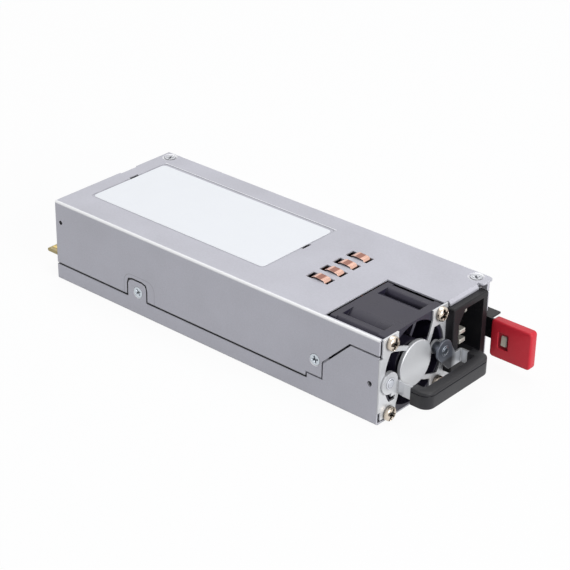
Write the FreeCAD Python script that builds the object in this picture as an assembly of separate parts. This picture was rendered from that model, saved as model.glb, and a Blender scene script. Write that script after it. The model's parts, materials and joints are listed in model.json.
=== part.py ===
"""Hot swap server power supply: sheet-metal case, fan, inlet, latch, handle and inner parts.

Millimetres. X runs across the unit, Y from its front face to its rear card edge, Z up.
The origin is the centre of the floor of the case, on its outer face.
"""
import FreeCAD, Part
import math
import os

# ---- case ------------------------------------------------------------------------------
CASE_LENGTH = 185.0
CASE_WIDTH = 73.5
CASE_HEIGHT = 39.0
SHEET = 0.8
BEND = 1.2
SEAM_HEIGHT = 7.7
SEAM_GAP = 0.8
EDGE_SETBACK = 0.4
FIT = 0.05
PARALLEL = 1e-6

HALF = CASE_WIDTH / 2
FRONT = -CASE_LENGTH / 2
REAR = CASE_LENGTH / 2
INNER = HALF - SHEET
ROOF = CASE_HEIGHT - SHEET

# wall of the base tray, as distances behind the front edge and heights
RISE_HEIGHT = 31.0
RISE_LENGTH = 14.7
RISE_FOOT = 28.3
RISE_FOOT_HEIGHT = 17.5
STEP_HEIGHT = 9.8
STEP_END = 36.6
TAB_REAR_GAP = 56.7
TAB_START = CASE_LENGTH - TAB_REAR_GAP
TAB_LENGTH = 11.0
TAB_HEIGHT = 16.4
TAB_CORNER = 2.5
LAP_HEIGHT = 12.0
LAP_WIDTH = 14.0

# ---- screws of the case ----------------------------------------------------------------
TAB_SCREW_INSET = 5.0
SIDE_SCREW_PLACES = ((32.7, 17.6), (TAB_START + TAB_SCREW_INSET, 11.3))
TOP_SCREW_SIDE = 4.85
TOP_SCREW_FRONT = 4.1
TOP_SCREW_REAR = 4.8
TOP_SCREW_X = HALF - TOP_SCREW_SIDE
TOP_SCREW_PLACES = (TOP_SCREW_FRONT, CASE_LENGTH - TOP_SCREW_REAR)
CASE_SCREW_HEAD = 2.8
CASE_SCREW_SHANK = 1.4
CASE_SCREW_LENGTH = 2.4
CASE_SCREW_CONE = 1.2
CASE_SCREW_FIT = 0.01
CASE_SCREW_CROSS = (3.08, 0.84)
CROSS_ARM_SHARE = 0.25
CROSS_TURN = 30.0
DIMPLE_RADIUS = 3.6
DIMPLE_DEPTH = 0.3
PEEP_HOLE = 1.2
PEEP_PLACE = (4.6, 17.9)
REAR_HOLE = 1.0
REAR_HOLE_INSET = 3.5
REAR_HOLE_PLACE = (CASE_LENGTH - REAR_HOLE_INSET, 29.0)

# ---- fan --------------------------------------------------------------------------------
FAN_SIZE = 38.0
FAN_DEPTH = 28.0
FAN_SIDE_GAP = 3.25
FAN_LEFT = FAN_SIDE_GAP - HALF
FAN_RIGHT = FAN_LEFT + FAN_SIZE
FAN_X = FAN_LEFT + FAN_SIZE / 2
FAN_FRONT_GAP = 0.3
FAN_WALL = 1.0
FAN_THROAT = FAN_SIZE / 2 - FAN_WALL
BARREL_WALL = 2.4
FAN_BARREL = FAN_THROAT + BARREL_WALL
FAN_FRONT_FLANGE = 4.0
FAN_REAR_FLANGE = 3.0
FAN_HOLE_INSET = 3.0
FAN_HOLE_PITCH = FAN_SIZE - 2 * FAN_HOLE_INSET

# ---- top of the cover ------------------------------------------------------------------
FAN_CUT_MARGIN = (1.6, 0.5, 1.3)
FAN_CUT_LEFT = FAN_LEFT - FAN_CUT_MARGIN[0]
FAN_CUT_RIGHT = FAN_RIGHT + FAN_CUT_MARGIN[1]
FAN_CUT_LENGTH = FAN_DEPTH + FAN_FRONT_GAP + FAN_CUT_MARGIN[2]
HEM_INSET = (2.2, 10.15)
HEM_LEFT = FAN_CUT_RIGHT + HEM_INSET[0]
HEM_RIGHT = HALF - HEM_INSET[1]
HEM_REACH = 1.1
HEM_DROP = 1.3
CORNER_INSET = 8.65
CORNER_LEFT = HALF - CORNER_INSET
CORNER_REACH = 2.2
CORNER_RADIUS = 1.6
LABEL_INSET = (15.15, 12.85, 8.8)
LABEL_LEFT = LABEL_INSET[0] - HALF
LABEL_RIGHT = HALF - LABEL_INSET[1]
LABEL_START = 74.5
LABEL_END = CASE_LENGTH - LABEL_INSET[2]
LABEL_CORNER = 2.2
LABEL_THICKNESS = 0.15
RECESS_MARGIN = 1.6
RECESS_DEPTH = 0.25
KEY_SLOT = (5.3, 1.7)
KEY_SLOT_X = 5.2
REAR_NOTCH = (3.7, 14.0, 0.8)
SIDE_NOTCH = (84.4, 91.0, 0.6)

# ---- spring fingers on the roof ----------------------------------------------------------
FINGER_COUNT = 4
FINGER_FIRST = -12.8
FINGER_PITCH = 8.55
FINGER_WIDTH = 4.2
FINGER_SLOT_WIDTH = 5.2
FINGER_REAR_SLOT = (52.8, 56.3)
FINGER_FRONT_SLOT = (44.8, 47.0)
FINGER_SHEET = 0.25
FINGER_RISE = 1.2
FINGER_TAIL = 2.2
FINGER_LIP = 0.7

# ---- rotor and stator ----------------------------------------------------------------------
FAN_HOLE = 1.7
FAN_POST = 3.2
HUB_RADIUS = 9.2
HUB_WALL = 1.2
HUB_GAP = 1.6
HUB_LENGTH = 17.0
BLADE_COUNT = 7
BLADE_TIP_GAP = 0.6
BLADE_SHEET = 1.1
BLADE_BOW = 0.12
BLADE_CHORD = 14.0
BLADE_PITCH_ROOT = 52.0
BLADE_PITCH_TIP = 34.0
BASE_RADIUS = 8.6
BASE_THICKNESS = 2.0
STRUT_COUNT = 4
STRUT_WIDTH = 2.2
TUBE_RADIUS = 3.4
TUBE_BORE = 3.0
BEARING_WIDTH = 2.5
SHAFT_RADIUS = 1.0
SHAFT_CLEARANCE = 0.03
SHAFT_BACK_GAP = 1.2
STATOR_RADIUS = 6.6
STATOR_LENGTH = 8.0
STATOR_POLES = 4

# ---- face plate and fan guard ---------------------------------------------------------------
PLATE_SHEET = 0.8
PLATE_INSET = 1.35
PLATE_LEFT = PLATE_INSET - HALF
PLATE_BOTTOM = 2.3
PLATE_FOOT_HEIGHT = 6.0
LUG_DROP = 0.7
PLATE_SIDE_LUG = (6.0, RISE_HEIGHT - LUG_DROP)
PLATE_FLANGE_LENGTH = 8.0
GUARD_MARGIN = 1.4
GUARD_OPENING = FAN_THROAT + GUARD_MARGIN
GUARD_PATCH_SIZE = 7.8
GUARD_PATCH = FAN_SIZE / 2 - GUARD_PATCH_SIZE
GUARD_DISC = 10.2
GUARD_DISC_PROUD = 0.9
GUARD_SPOKE_WIDTH = 2.1
GUARD_SPOKES = 4
GUARD_SPOKE = ((-15.5, 12.7), (-11.2, 11.2), (-7.8, 10.0), (-4.6, 8.5))
FAN_SCREW_HEAD = 3.1
FAN_SCREW_HEAD_HEIGHT = 2.4
FAN_SCREW_LENGTH = 9.0
FAN_SCREW_CROSS = (3.4, 1.0)
FAN_SCREW_DOME = 1.44

# ---- inlet ------------------------------------------------------------------------------
INLET_FAN_GAP = 1.2
INLET_MARGIN = (3.75, 3.25, 2.9, 2.45)
INLET_TOP = ROOF - HEM_DROP - FIT
INLET_REACH = 4.3
INLET_CAVITY = (16.6, 24.6)
INLET_X = FAN_RIGHT + INLET_FAN_GAP + INLET_MARGIN[0] + INLET_CAVITY[0] / 2
INLET_Z = INLET_TOP - INLET_MARGIN[3] - INLET_CAVITY[1] / 2
INLET_BEZEL_X = (FAN_RIGHT + INLET_FAN_GAP, INLET_X + INLET_CAVITY[0] / 2 + INLET_MARGIN[1])
INLET_BEZEL_Z = (INLET_Z - INLET_CAVITY[1] / 2 - INLET_MARGIN[2], INLET_TOP)
PLATE_RIGHT = INLET_BEZEL_X[1]
PLATE_FOOT_INSET = 7.6
PLATE_FOOT_RIGHT = PLATE_RIGHT - PLATE_FOOT_INSET
INLET_CAVITY_DEPTH = 17.5
INLET_CHAMFER = (4.0, 6.0)
INLET_BODY_MARGIN = 1.5
INLET_BACK_WALL = 2.4
INLET_EDGE_ROUND = 0.9
PIN_WIDTH = 4.0
PIN_SHEET = 2.0
PIN_SPREAD = 7.0
PIN_OFFSET = 2.0
EARTH_TIP = 2.1
LINE_TIP = -0.4
PIN_TAIL = 5.0
PIN_TIP = 0.4

# ---- handle -----------------------------------------------------------------------------
STRAP = 1.0
STRAP_BOTTOM = 11.5
STRAP_TOP = 17.4
LEFT_EYE_INSET = 4.2
LEFT_EYE = (PLATE_LEFT + LEFT_EYE_INSET, 18.0)
LEFT_EYE_RADIUS = 4.8
LEFT_ARM_REACH = 4.7
LEFT_BEND_REACH = 5.3
LEFT_ARM_X = LEFT_EYE[0] + LEFT_ARM_REACH
LEFT_BEND_X = LEFT_EYE[0] + LEFT_BEND_REACH
EYE_OVERLAP = 1.0
LEFT_KINK = 3.6
RIGHT_EYE_INSET = 5.3
RIGHT_EYE = (FAN_RIGHT - RIGHT_EYE_INSET, 21.4)
RIGHT_EYE_RADIUS = 4.7
RIGHT_ARM_REACH = 12.0
RIGHT_ARM_X = RIGHT_EYE[0] + RIGHT_ARM_REACH
EAR_RADIUS = 3.0
STANDOFF_RADIUS = 2.3
HANDLE_RIVET_HEAD = 2.4
HANDLE_RIVET_RISE = 0.9
HANDLE_RIVET_DOME = 0.63
HANDLE_RIVET_SHANK = 1.5
GRIP_COVER = (1.8, 3.0)
GRIP_LEFT = LEFT_ARM_X - GRIP_COVER[0]
GRIP_RIGHT = RIGHT_ARM_X + GRIP_COVER[1]
GRIP_WALL = 4.6
GRIP_BAR = 5.0
GRIP_REACH = 18.0
GRIP_START = 9.0
GRIP_BOTTOM = 10.0
GRIP_TOP = 17.7
GRIP_CORNER = 4.5
GRIP_INNER_CORNER = 1.5
GRIP_EDGE = 0.9
STRAP_REACH = 15.5

# ---- latch ------------------------------------------------------------------------------
LATCH_INSET = 2.95
LATCH_X = HALF - LATCH_INSET
LATCH_SHEET = 0.8
LATCH_BOTTOM = 12.4
LATCH_TOP = 21.8
LATCH_PIVOT = 42.0
LATCH_FOOT_END = 58.0
LATCH_REACH = 16.0
LATCH_ROUND_GAP = 0.05
FIN_PROUD = 3.85
FIN_REACH = HALF + FIN_PROUD
FIN_FRONT = 3.6
FIN_FLAT_END = 3.5
FIN_RAMP_END = 12.0
FIN_SLOT_PLAY = 0.6
LUG_START = 46.0
LATCH_TAB = (4.4, 20.2, 17.6)
LATCH_TAB_START = 4.9
LATCH_TAB_BOTTOM = 5.0
LATCH_TAB_ROUND = 1.7
LATCH_TAB_EDGE = 0.9
LATCH_WINDOW = (3.9, 5.6)
LATCH_WINDOW_START = 4.1
LATCH_RIVET_RADIUS = 1.2
LATCH_RIVET_HEAD = 2.2
LATCH_RIVET_SHARES = (0.25, 0.75)

# ---- boards and power parts --------------------------------------------------------------
BOARD = 1.6
BOARD_MARGIN = 1.6
BOARD_HEIGHT = 4.0
BOARD_START = 31.0
BOARD_REAR_GAP = 9.0
BOARD_END = CASE_LENGTH - BOARD_REAR_GAP
SHEET_FILM = 0.3
STANDOFF = 2.4
STANDOFF_SIDE = 6.75
STANDOFF_INSET = 6.0
STANDOFF_X = HALF - STANDOFF_SIDE
STANDOFF_REAR = BOARD_END - STANDOFF_INSET
STANDOFF_PLACES = (
    (-STANDOFF_X, 38.0), (STANDOFF_X, 66.0),
    (-STANDOFF_X, STANDOFF_REAR), (STANDOFF_X, STANDOFF_REAR),
)
BOARD_SCREW = 1.4
BOARD_SCREW_HEAD = 2.6
BOARD_SCREW_HEAD_HEIGHT = 1.4
CARD_HEIGHT = 8.2
CARD_SIDE_GAP = 4.75
CARD_INSIDE = 33.0
CARD_WIDTH = CASE_WIDTH - 2 * CARD_SIDE_GAP
CARD_START = CASE_LENGTH - CARD_INSIDE
CARD_REACH = 11.5
CARD_BEVEL = 0.5
CONTACT_PITCH = 2.54
CONTACT_MARGIN = 3.04
CONTACT_COUNT = int((CARD_WIDTH - CONTACT_MARGIN + FIT) / CONTACT_PITCH)
CONTACT_WIDTH = 1.7
CONTACT_LENGTH = 9.0
CONTACT_SHEET = 0.1
BUS_BAR = (14.0, 5.0)
REAR_SLOT_PLAY = 1.0
REAR_SLOT = (CARD_WIDTH + 2 * REAR_SLOT_PLAY, 6.8, 11.4)
VENT_RADIUS = 2.1
VENT_PITCH = 5.2
VENT_ROWS = 4
VENT_COLUMNS = 12
VENT_BOTTOM = 16.0
VENT_SIDES = 6

# parts on the boards: x, distance behind the front, then their own sizes
CAN_ROW_GAP = 6.0
CAN_ROW = CARD_START - CAN_ROW_GAP
OUTPUT_CAN = (4.0, 16.0)
CAN_PITCH = 9.0
CAN_SIDE = 8.75
CAN_FIRST = CAN_SIDE - HALF
CAN_COUNT = int((CASE_WIDTH - 2 * CAN_SIDE + FIT) / CAN_PITCH) + 1
CAN_GROOVE = (1.5, 0.8, 0.4)
CAN_EDGE = 0.6
CAN_SINK_GAP = 5.0
OUTPUT_SINK_LENGTH = 25.0
OUTPUT_SINK_END = CAN_ROW - CAN_SINK_GAP
OUTPUT_SINK_START = OUTPUT_SINK_END - OUTPUT_SINK_LENGTH
OUTPUT_SINK = (-9.0, OUTPUT_SINK_START, OUTPUT_SINK_END, 22.0, 6.0)
OUTPUT_SINK_FINS = 5
RELAY_INSET = (4.0, 1.0)
RELAY = (CAN_FIRST + RELAY_INSET[0], OUTPUT_SINK_START + RELAY_INSET[1], 12.0, 20.0, 15.5)
CONTROL_SIDE = 3.75
CONTROL_BOARD = (CONTROL_SIDE - HALF, OUTPUT_SINK_START, 1.4, 24.0, 26.0)
CORE_REAR_GAP = 22.0
CORE_SIDE_GAP = 4.75
CORE_WIDTH = 30.0
CORE_LENGTH = 26.0
CORE_X = (HALF - CORE_SIDE_GAP - CORE_WIDTH, HALF - CORE_SIDE_GAP)
CORE_Y = (CAN_ROW - CORE_REAR_GAP - CORE_LENGTH, CAN_ROW - CORE_REAR_GAP)
CORE_HEIGHT = 27.0
CORE_LEG = 6.0
CORE_YOKE = 5.0
WINDING_RADIUS = 8.0
WINDING_OVERHANG = 3.0
SINK_LEFT = 1.0
SINK_CORE_GAP = 4.0
PRIMARY_SINK = (CORE_X[0] - SINK_LEFT, 64.0, CORE_Y[0] - SINK_CORE_GAP, 27.0, 5.0)
PRIMARY_SINK_FINS = 6
SINK_BASE = 2.0
SINK_FIN = 1.0
TRANSISTOR = (2.6, 8.0, 15.0)
TRANSISTOR_PITCH = 10.0
BULK_START = 66.0
BULK_REAR_GAP = 4.0
BULK_ROOF_GAP = 2.6
BULK_SIDE_GAP = 3.45
BULK_SINK_GAP = 0.9
BULK_LEFT = BULK_SIDE_GAP - INNER
BULK_ROOM_UP = ROOF - BOARD_HEIGHT - BOARD - BULK_ROOF_GAP
BULK_ROOM_ACROSS = PRIMARY_SINK[0] - TRANSISTOR[0] - BULK_SINK_GAP - BULK_LEFT
BULK_RADIUS = min(BULK_ROOM_UP, BULK_ROOM_ACROSS) / 2
BULK_PLACE = (BULK_LEFT + BULK_RADIUS, BULK_START)
BULK_SIZE = (BULK_RADIUS, OUTPUT_SINK_START - BULK_REAR_GAP - BULK_START)
BULK_GROOVE = (3.0, 1.6, 0.8)
FILTER_CHOKE = (12.0, 42.0, 8.5, 4.0)
CHOKE_SIDE = 15.45
CHOKE_CORE_GAP = 14.0
BOOST_CHOKE = (HALF - CHOKE_SIDE, CORE_Y[0] - CHOKE_CORE_GAP, 8.5, 4.5)
LEFT_PARTS_GAP = 5.75
LEFT_PARTS = LEFT_PARTS_GAP - HALF
X_CAPACITOR = (LEFT_PARTS, 46.0, 18.0, 8.0, 15.0)
BRIDGE = (-8.0, 33.0, 3.5, 25.0, 17.0)
FUSE = (LEFT_PARTS, 58.5, 2.6, 20.0)
VARISTOR_SIDE = 12.75
VARISTOR = (HALF - VARISTOR_SIDE, 54.0, 6.0, 4.0)


# ---- shape helpers -----------------------------------------------------------------------
def vec(x, y, z):
    """Vector from three numbers."""
    return FreeCAD.Vector(x, y, z)


def box(x_range, y_range, z_range):
    """Box from three (low, high) pairs."""
    size = [pair[1] - pair[0] for pair in (x_range, y_range, z_range)]
    return Part.makeBox(size[0], size[1], size[2], vec(x_range[0], y_range[0], z_range[0]))


def about(centre, size):
    """Range of a given size round its centre."""
    return (centre - size / 2, centre + size / 2)


def behind(start, end):
    """Range along Y from two distances behind the front edge."""
    return (FRONT + start, FRONT + end)


def rod(start, direction, radius, length):
    """Solid cylinder from its start point along a direction."""
    return Part.makeCylinder(radius, length, start, direction)


def fuse(shapes):
    """One shape from many, with shared faces merged."""
    result = shapes[0]
    for shape in shapes[1:]:
        result = result.fuse(shape)
    return result.removeSplitter()


def cut(shape, tools):
    """Shape with every tool taken away."""
    for tool in tools:
        shape = shape.cut(tool)
    return shape


def closed_wire(points):
    """Closed wire of straight edges through 3-D points."""
    return Part.makePolygon(list(points) + [points[0]])


def prism_x(points, x_range):
    """Outline of (y, z) points, extruded along X."""
    face = Part.Face(closed_wire([vec(x_range[0], y, z) for y, z in points]))
    return face.extrude(vec(x_range[1] - x_range[0], 0, 0))


def prism_y(points, y_range):
    """Outline of (x, z) points, extruded along Y."""
    face = Part.Face(closed_wire([vec(x, y_range[0], z) for x, z in points]))
    return face.extrude(vec(0, y_range[1] - y_range[0], 0))


def prism_z(points, z_range):
    """Outline of (x, y) points, extruded along Z."""
    face = Part.Face(closed_wire([vec(x, y, z_range[0]) for x, y in points]))
    return face.extrude(vec(0, 0, z_range[1] - z_range[0]))


def band(points, thickness):
    """Closed outline of a strip of even thickness centred on an open 2-D path."""
    left = []
    right = []
    for index, (a, b) in enumerate(points):
        before = points[max(index - 1, 0)]
        after = points[min(index + 1, len(points) - 1)]
        normals = []
        for start, end in ((before, (a, b)), ((a, b), after)):
            length = math.hypot(end[0] - start[0], end[1] - start[1])
            if length > 0:
                normals.append((-(end[1] - start[1]) / length, (end[0] - start[0]) / length))
        mean = [sum(normal[axis] for normal in normals) / len(normals) for axis in (0, 1)]
        scale = thickness / 2 / (mean[0] ** 2 + mean[1] ** 2)
        left.append((a + mean[0] * scale, b + mean[1] * scale))
        right.append((a - mean[0] * scale, b - mean[1] * scale))
    return left + right[::-1]


def edges_along(shape, axis, test):
    """Straight edges parallel to an axis whose midpoint passes a test."""
    found = []
    for edge in shape.Edges:
        if len(edge.Vertexes) != 2:
            continue
        span = edge.Vertexes[1].Point - edge.Vertexes[0].Point
        if span.Length > 0 and abs(abs(span.dot(axis)) / span.Length - 1) < PARALLEL:
            if test((edge.Vertexes[0].Point + edge.Vertexes[1].Point) / 2):
                found.append(edge)
    return found


def front_rim(shape, limit):
    """Edges of a shape that lie wholly in front of a limit along Y."""
    return [edge for edge in shape.Edges if edge.BoundBox.YMax < limit]


def any_place(point):
    """Edge test that takes every edge."""
    return point is not None


def round_edges(shape, axis, radius, test=any_place):
    """Shape with its edges along an axis rounded."""
    return shape.makeFillet(radius, edges_along(shape, axis, test))


def turned(shape, centre, axis, count, step_angle=None):
    """Copies of a shape turned about an axis, evenly all round unless a step is given."""
    copies = []
    for step in range(count):
        copy = shape.copy()
        copy.rotate(centre, axis, (step_angle or 360.0 / count) * step)
        copies.append(copy)
    return copies


ORIGIN = vec(0, 0, 0)
X_AXIS = vec(1, 0, 0)
Y_AXIS = vec(0, 1, 0)
Z_AXIS = vec(0, 0, 1)
PLATE_FRONT = FRONT + FAN_FRONT_GAP - PLATE_SHEET
PLATE_BACK = FRONT + FAN_FRONT_GAP
FAN_Z = SHEET + FAN_SIZE / 2
FAN_CENTRE = vec(FAN_X, PLATE_BACK, FAN_Z)
BOARD_TOP = BOARD_HEIGHT + BOARD
EDGE_Y = FRONT + EDGE_SETBACK


# ---- case --------------------------------------------------------------------------------
def channel():
    """U channel of bent sheet, open at the top, with the full length and height of the case."""
    outer = box((-HALF, HALF), (EDGE_Y, REAR - EDGE_SETBACK), (0, CASE_HEIGHT))
    inner = box((-INNER, INNER), (EDGE_Y, REAR - EDGE_SETBACK), (SHEET, CASE_HEIGHT))
    outer = round_edges(outer, Y_AXIS, BEND, lambda point: point.z < BEND)
    inner = round_edges(inner, Y_AXIS, BEND - SHEET, lambda point: point.z < BEND)
    return outer.cut(inner)


def tray_outline(grow):
    """Side view of the tray's walls as (y, z) points, grown outwards by a gap."""
    tab_end = TAB_START + TAB_LENGTH
    corner = TAB_CORNER * (1 - math.sqrt(0.5))
    points = [
        (-SHEET - grow, -BEND), (-SHEET - grow, RISE_HEIGHT + grow),
        (RISE_LENGTH + grow / 2, RISE_HEIGHT + grow),
        (RISE_FOOT + grow, RISE_FOOT_HEIGHT + grow / 2), (RISE_FOOT + grow, STEP_HEIGHT + grow),
        (STEP_END + grow, STEP_HEIGHT + grow), (STEP_END + grow, SEAM_HEIGHT + grow),
        (TAB_START - grow, SEAM_HEIGHT + grow), (TAB_START - grow, TAB_HEIGHT - TAB_CORNER),
        (TAB_START - grow + corner, TAB_HEIGHT + grow - corner), (TAB_START + TAB_CORNER, TAB_HEIGHT + grow),
        (tab_end - TAB_CORNER, TAB_HEIGHT + grow), (tab_end + grow - corner, TAB_HEIGHT + grow - corner),
        (tab_end + grow, TAB_HEIGHT - TAB_CORNER), (tab_end + grow, SEAM_HEIGHT + grow),
        (CASE_LENGTH + BEND, SEAM_HEIGHT + grow), (CASE_LENGTH + BEND, -BEND),
    ]
    return [(FRONT + distance, height) for distance, height in points]


def countersink(place, inwards):
    """Conical hole for a case screw, from the outer face of the sheet inwards."""
    cone = Part.makeCone(CASE_SCREW_HEAD + CASE_SCREW_FIT, CASE_SCREW_SHANK + CASE_SCREW_FIT,
                         CASE_SCREW_CONE, place, inwards)
    return cone.fuse(rod(place, inwards, CASE_SCREW_SHANK + CASE_SCREW_FIT, CASE_SCREW_LENGTH))


def side_screw_places():
    """Places and inward directions of the four screws in the side walls."""
    places = []
    for side in (-1, 1):
        for distance, height in SIDE_SCREW_PLACES:
            places.append((vec(side * HALF, FRONT + distance, height), vec(-side, 0, 0)))
    return places


def top_screw_places():
    """Places and inward directions of the screws in the roof."""
    return [(vec(TOP_SCREW_X, FRONT + distance, CASE_HEIGHT), vec(0, 0, -1)) for distance in TOP_SCREW_PLACES]


def lap_plate(side, distance, z_range):
    """Inner plate behind a side wall that takes a screw or a rivet."""
    low, high = sorted((side * INNER, side * (INNER - SHEET)))
    return round_edges(box((low, high), about(FRONT + distance, LAP_WIDTH), z_range), X_AXIS, TAB_CORNER)


def base_tray():
    """Floor with low side walls, screw laps, the latch lug and the roof tab at the front right."""
    body = channel().common(prism_x(tray_outline(0), (-CASE_WIDTH, CASE_WIDTH)))
    (front_screw, front_height), _ = SIDE_SCREW_PLACES
    laps = [lap_plate(side, front_screw, (BEND, front_height + LAP_WIDTH / 4)) for side in (-1, 1)]
    lug_range = (FRONT + LUG_START, FRONT + LATCH_FOOT_END)
    laps.append(box((INNER - SHEET, INNER), lug_range, (BEND, LATCH_TOP)))
    post_range = (EDGE_Y, FRONT + 2 * TOP_SCREW_PLACES[0])
    laps.append(box((INNER - SHEET, INNER), post_range, (RISE_HEIGHT - LAP_HEIGHT / 2, ROOF - SHEET / 2)))
    laps.append(box((CORNER_LEFT, INNER - SHEET / 2), post_range, (ROOF - SHEET, ROOF)))
    body = fuse([body] + laps)
    tools = [countersink(place, inwards) for place, inwards in side_screw_places() + top_screw_places()]
    distance, height = PEEP_PLACE
    tools.append(rod(vec(-CASE_WIDTH, FRONT + distance, height), X_AXIS, PEEP_HOLE, 2 * CASE_WIDTH))
    fin_heights = (LATCH_TOP - LATCH_SHEET - FIN_SLOT_PLAY, LATCH_TOP + FIN_SLOT_PLAY)
    fin_lengths = (FRONT - BEND, FRONT + FIN_RAMP_END + FIN_SLOT_PLAY)
    tools.append(box((0, CASE_WIDTH), fin_lengths, fin_heights))
    tools += [rod(start, X_AXIS, LATCH_RIVET_RADIUS, CASE_WIDTH) for start in latch_rivet_places()]
    tools += [rod(place, Z_AXIS, BOARD_SCREW, SHEET) for place in standoff_places(0)]
    return cut(body, tools)


def finger_slots():
    """Slots of the roof that the spring fingers clip into."""
    slots = []
    for index in range(FINGER_COUNT):
        centre = FINGER_FIRST + index * FINGER_PITCH
        x_range = about(centre, FINGER_SLOT_WIDTH)
        for start, end in (FINGER_REAR_SLOT, FINGER_FRONT_SLOT):
            slots.append(box(x_range, behind(start, end), (ROOF - SHEET, CASE_HEIGHT + SHEET)))
    return slots


def cover_front():
    """Tools and additions that shape the front edge of the cover round the fan and inlet."""
    cut_y = behind(-BEND, FAN_CUT_LENGTH)
    cuts = [box((FAN_CUT_LEFT, FAN_CUT_RIGHT), cut_y, (ROOF - BEND, CASE_HEIGHT + SHEET))]
    hem_front = FRONT - HEM_REACH
    hem_path = [
        (EDGE_Y + BEND, CASE_HEIGHT - SHEET / 2), (hem_front + BEND, CASE_HEIGHT - SHEET / 2),
        (hem_front + SHEET / 2, CASE_HEIGHT - BEND), (hem_front + SHEET / 2, ROOF - HEM_DROP),
    ]
    hem = prism_x(band(hem_path, SHEET), (HEM_LEFT, HEM_RIGHT))
    corner = box((CORNER_LEFT, HALF - BEND), (FRONT - CORNER_REACH, EDGE_Y + BEND), (ROOF, CASE_HEIGHT))
    corner = round_edges(corner, Z_AXIS, CORNER_RADIUS, lambda point: point.x > 0 and point.y < FRONT - SHEET)
    return cuts, [hem, corner]


def label_recess():
    """Shallow pocket for the label and the two locating slots at its ends."""
    y_range = (FRONT + LABEL_START - RECESS_MARGIN / 2, FRONT + LABEL_END + RECESS_MARGIN / 2)
    x_range = (LABEL_LEFT - RECESS_MARGIN / 2, LABEL_RIGHT + RECESS_MARGIN)
    pocket = box(x_range, y_range, (CASE_HEIGHT - RECESS_DEPTH, CASE_HEIGHT + SHEET))
    pocket = round_edges(pocket, Z_AXIS, LABEL_CORNER)
    slots = []
    for centre in y_range:
        length, width = KEY_SLOT
        z_range = (ROOF - SHEET, CASE_HEIGHT + SHEET)
        slots.append(box(about(KEY_SLOT_X, length), about(centre, width), z_range))
    return [pocket] + slots


def top_cover():
    """Roof with deep side skirts, fan cut-out, finger slots, label recess and hemmed front."""
    shell = channel()
    shell.rotate(vec(0, 0, CASE_HEIGHT / 2), Y_AXIS, 180)
    shell = shell.cut(prism_x(tray_outline(SEAM_GAP), (-CASE_WIDTH, CASE_WIDTH)))
    cuts, additions = cover_front()
    _, (tab_screw, _) = SIDE_SCREW_PLACES
    lap_heights = (SEAM_HEIGHT + SEAM_GAP, TAB_HEIGHT + LAP_HEIGHT / 2)
    laps = [lap_plate(side, tab_screw, lap_heights) for side in (-1, 1)]
    shell = fuse([shell] + additions + laps)
    tools = cuts + finger_slots() + label_recess()
    tools += [countersink(place, inwards) for place, inwards in side_screw_places() + top_screw_places()]
    for place, inwards in top_screw_places():
        tools.append(Part.makeCone(DIMPLE_RADIUS, CASE_SCREW_HEAD, DIMPLE_DEPTH, place, inwards))
    left, right, depth = REAR_NOTCH
    tools.append(box((left, right), (REAR - EDGE_SETBACK - depth, REAR), (ROOF - BEND, CASE_HEIGHT + SHEET)))
    start, end, depth = SIDE_NOTCH
    tools.append(box((HALF - depth, HALF + SHEET), behind(start, end), (ROOF - SHEET, CASE_HEIGHT + SHEET)))
    distance, height = REAR_HOLE_PLACE
    tools.append(rod(vec(-CASE_WIDTH, FRONT + distance, height), X_AXIS, REAR_HOLE, 2 * CASE_WIDTH))
    return cut(shell, tools)


def case_screw(place, inwards):
    """Countersunk cross-head screw, its head flush with the sheet."""
    head = Part.makeCone(CASE_SCREW_HEAD, CASE_SCREW_SHANK, CASE_SCREW_CONE, place, inwards)
    screw = head.fuse(rod(place, inwards, CASE_SCREW_SHANK, CASE_SCREW_LENGTH)).removeSplitter()
    span, depth = CASE_SCREW_CROSS
    return screw.cut(cross_recess(place, inwards, span, depth))


def cross_recess(place, inwards, span, depth):
    """Cross-shaped driver recess in a screw head."""
    arm = box(about(0, span), about(0, span * CROSS_ARM_SHARE), about(0, 2 * depth))
    cross = fuse(turned(arm, ORIGIN, Z_AXIS, 2, 90))
    cross.rotate(ORIGIN, Z_AXIS, CROSS_TURN)
    cross.Placement = FreeCAD.Placement(place, FreeCAD.Rotation(Z_AXIS, inwards)).multiply(cross.Placement)
    return cross


def vent_outline(x, z):
    """Six-sided outline of one air hole, a corner upwards."""
    angles = [2 * math.pi * step / VENT_SIDES for step in range(VENT_SIDES)]
    return [(x + VENT_RADIUS * math.sin(angle), z + VENT_RADIUS * math.cos(angle)) for angle in angles]


def rear_panel():
    """Rear wall with its air holes, the card slot and a flange under the roof."""
    y_range = (REAR - EDGE_SETBACK - SHEET, REAR - EDGE_SETBACK)
    wall = box((-INNER + FIT, INNER - FIT), y_range, (SHEET, ROOF))
    reach = REAR - FRONT - TOP_SCREW_PLACES[1]
    flange_y = (REAR - 2 * reach, y_range[1])
    roof_flange = box((-INNER + BEND, INNER - BEND), flange_y, (ROOF - SHEET, ROOF))
    sides = [box(pair, flange_y, (BEND, SEAM_HEIGHT)) for pair in
             ((-INNER + FIT, -INNER + FIT + SHEET), (INNER - FIT - SHEET, INNER - FIT))]
    panel = round_edges(wall, Y_AXIS, BEND - SHEET)
    panel = fuse([panel, roof_flange] + sides)
    width, low, high = REAR_SLOT
    tools = [box((-width / 2, width / 2), (y_range[0] - SHEET, REAR + SHEET), (low, high))]
    for row in range(VENT_ROWS):
        for column in range(VENT_COLUMNS - row % 2):
            x = (column - (VENT_COLUMNS - 1 - row % 2) / 2) * VENT_PITCH
            z = VENT_BOTTOM + row * VENT_PITCH * math.sqrt(3) / 2
            tools.append(prism_y(vent_outline(x, z), (y_range[0] - SHEET, REAR + SHEET)))
    tools += [countersink(place, inwards) for place, inwards in top_screw_places()]
    return cut(panel, [Part.makeCompound(tools)])


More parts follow.
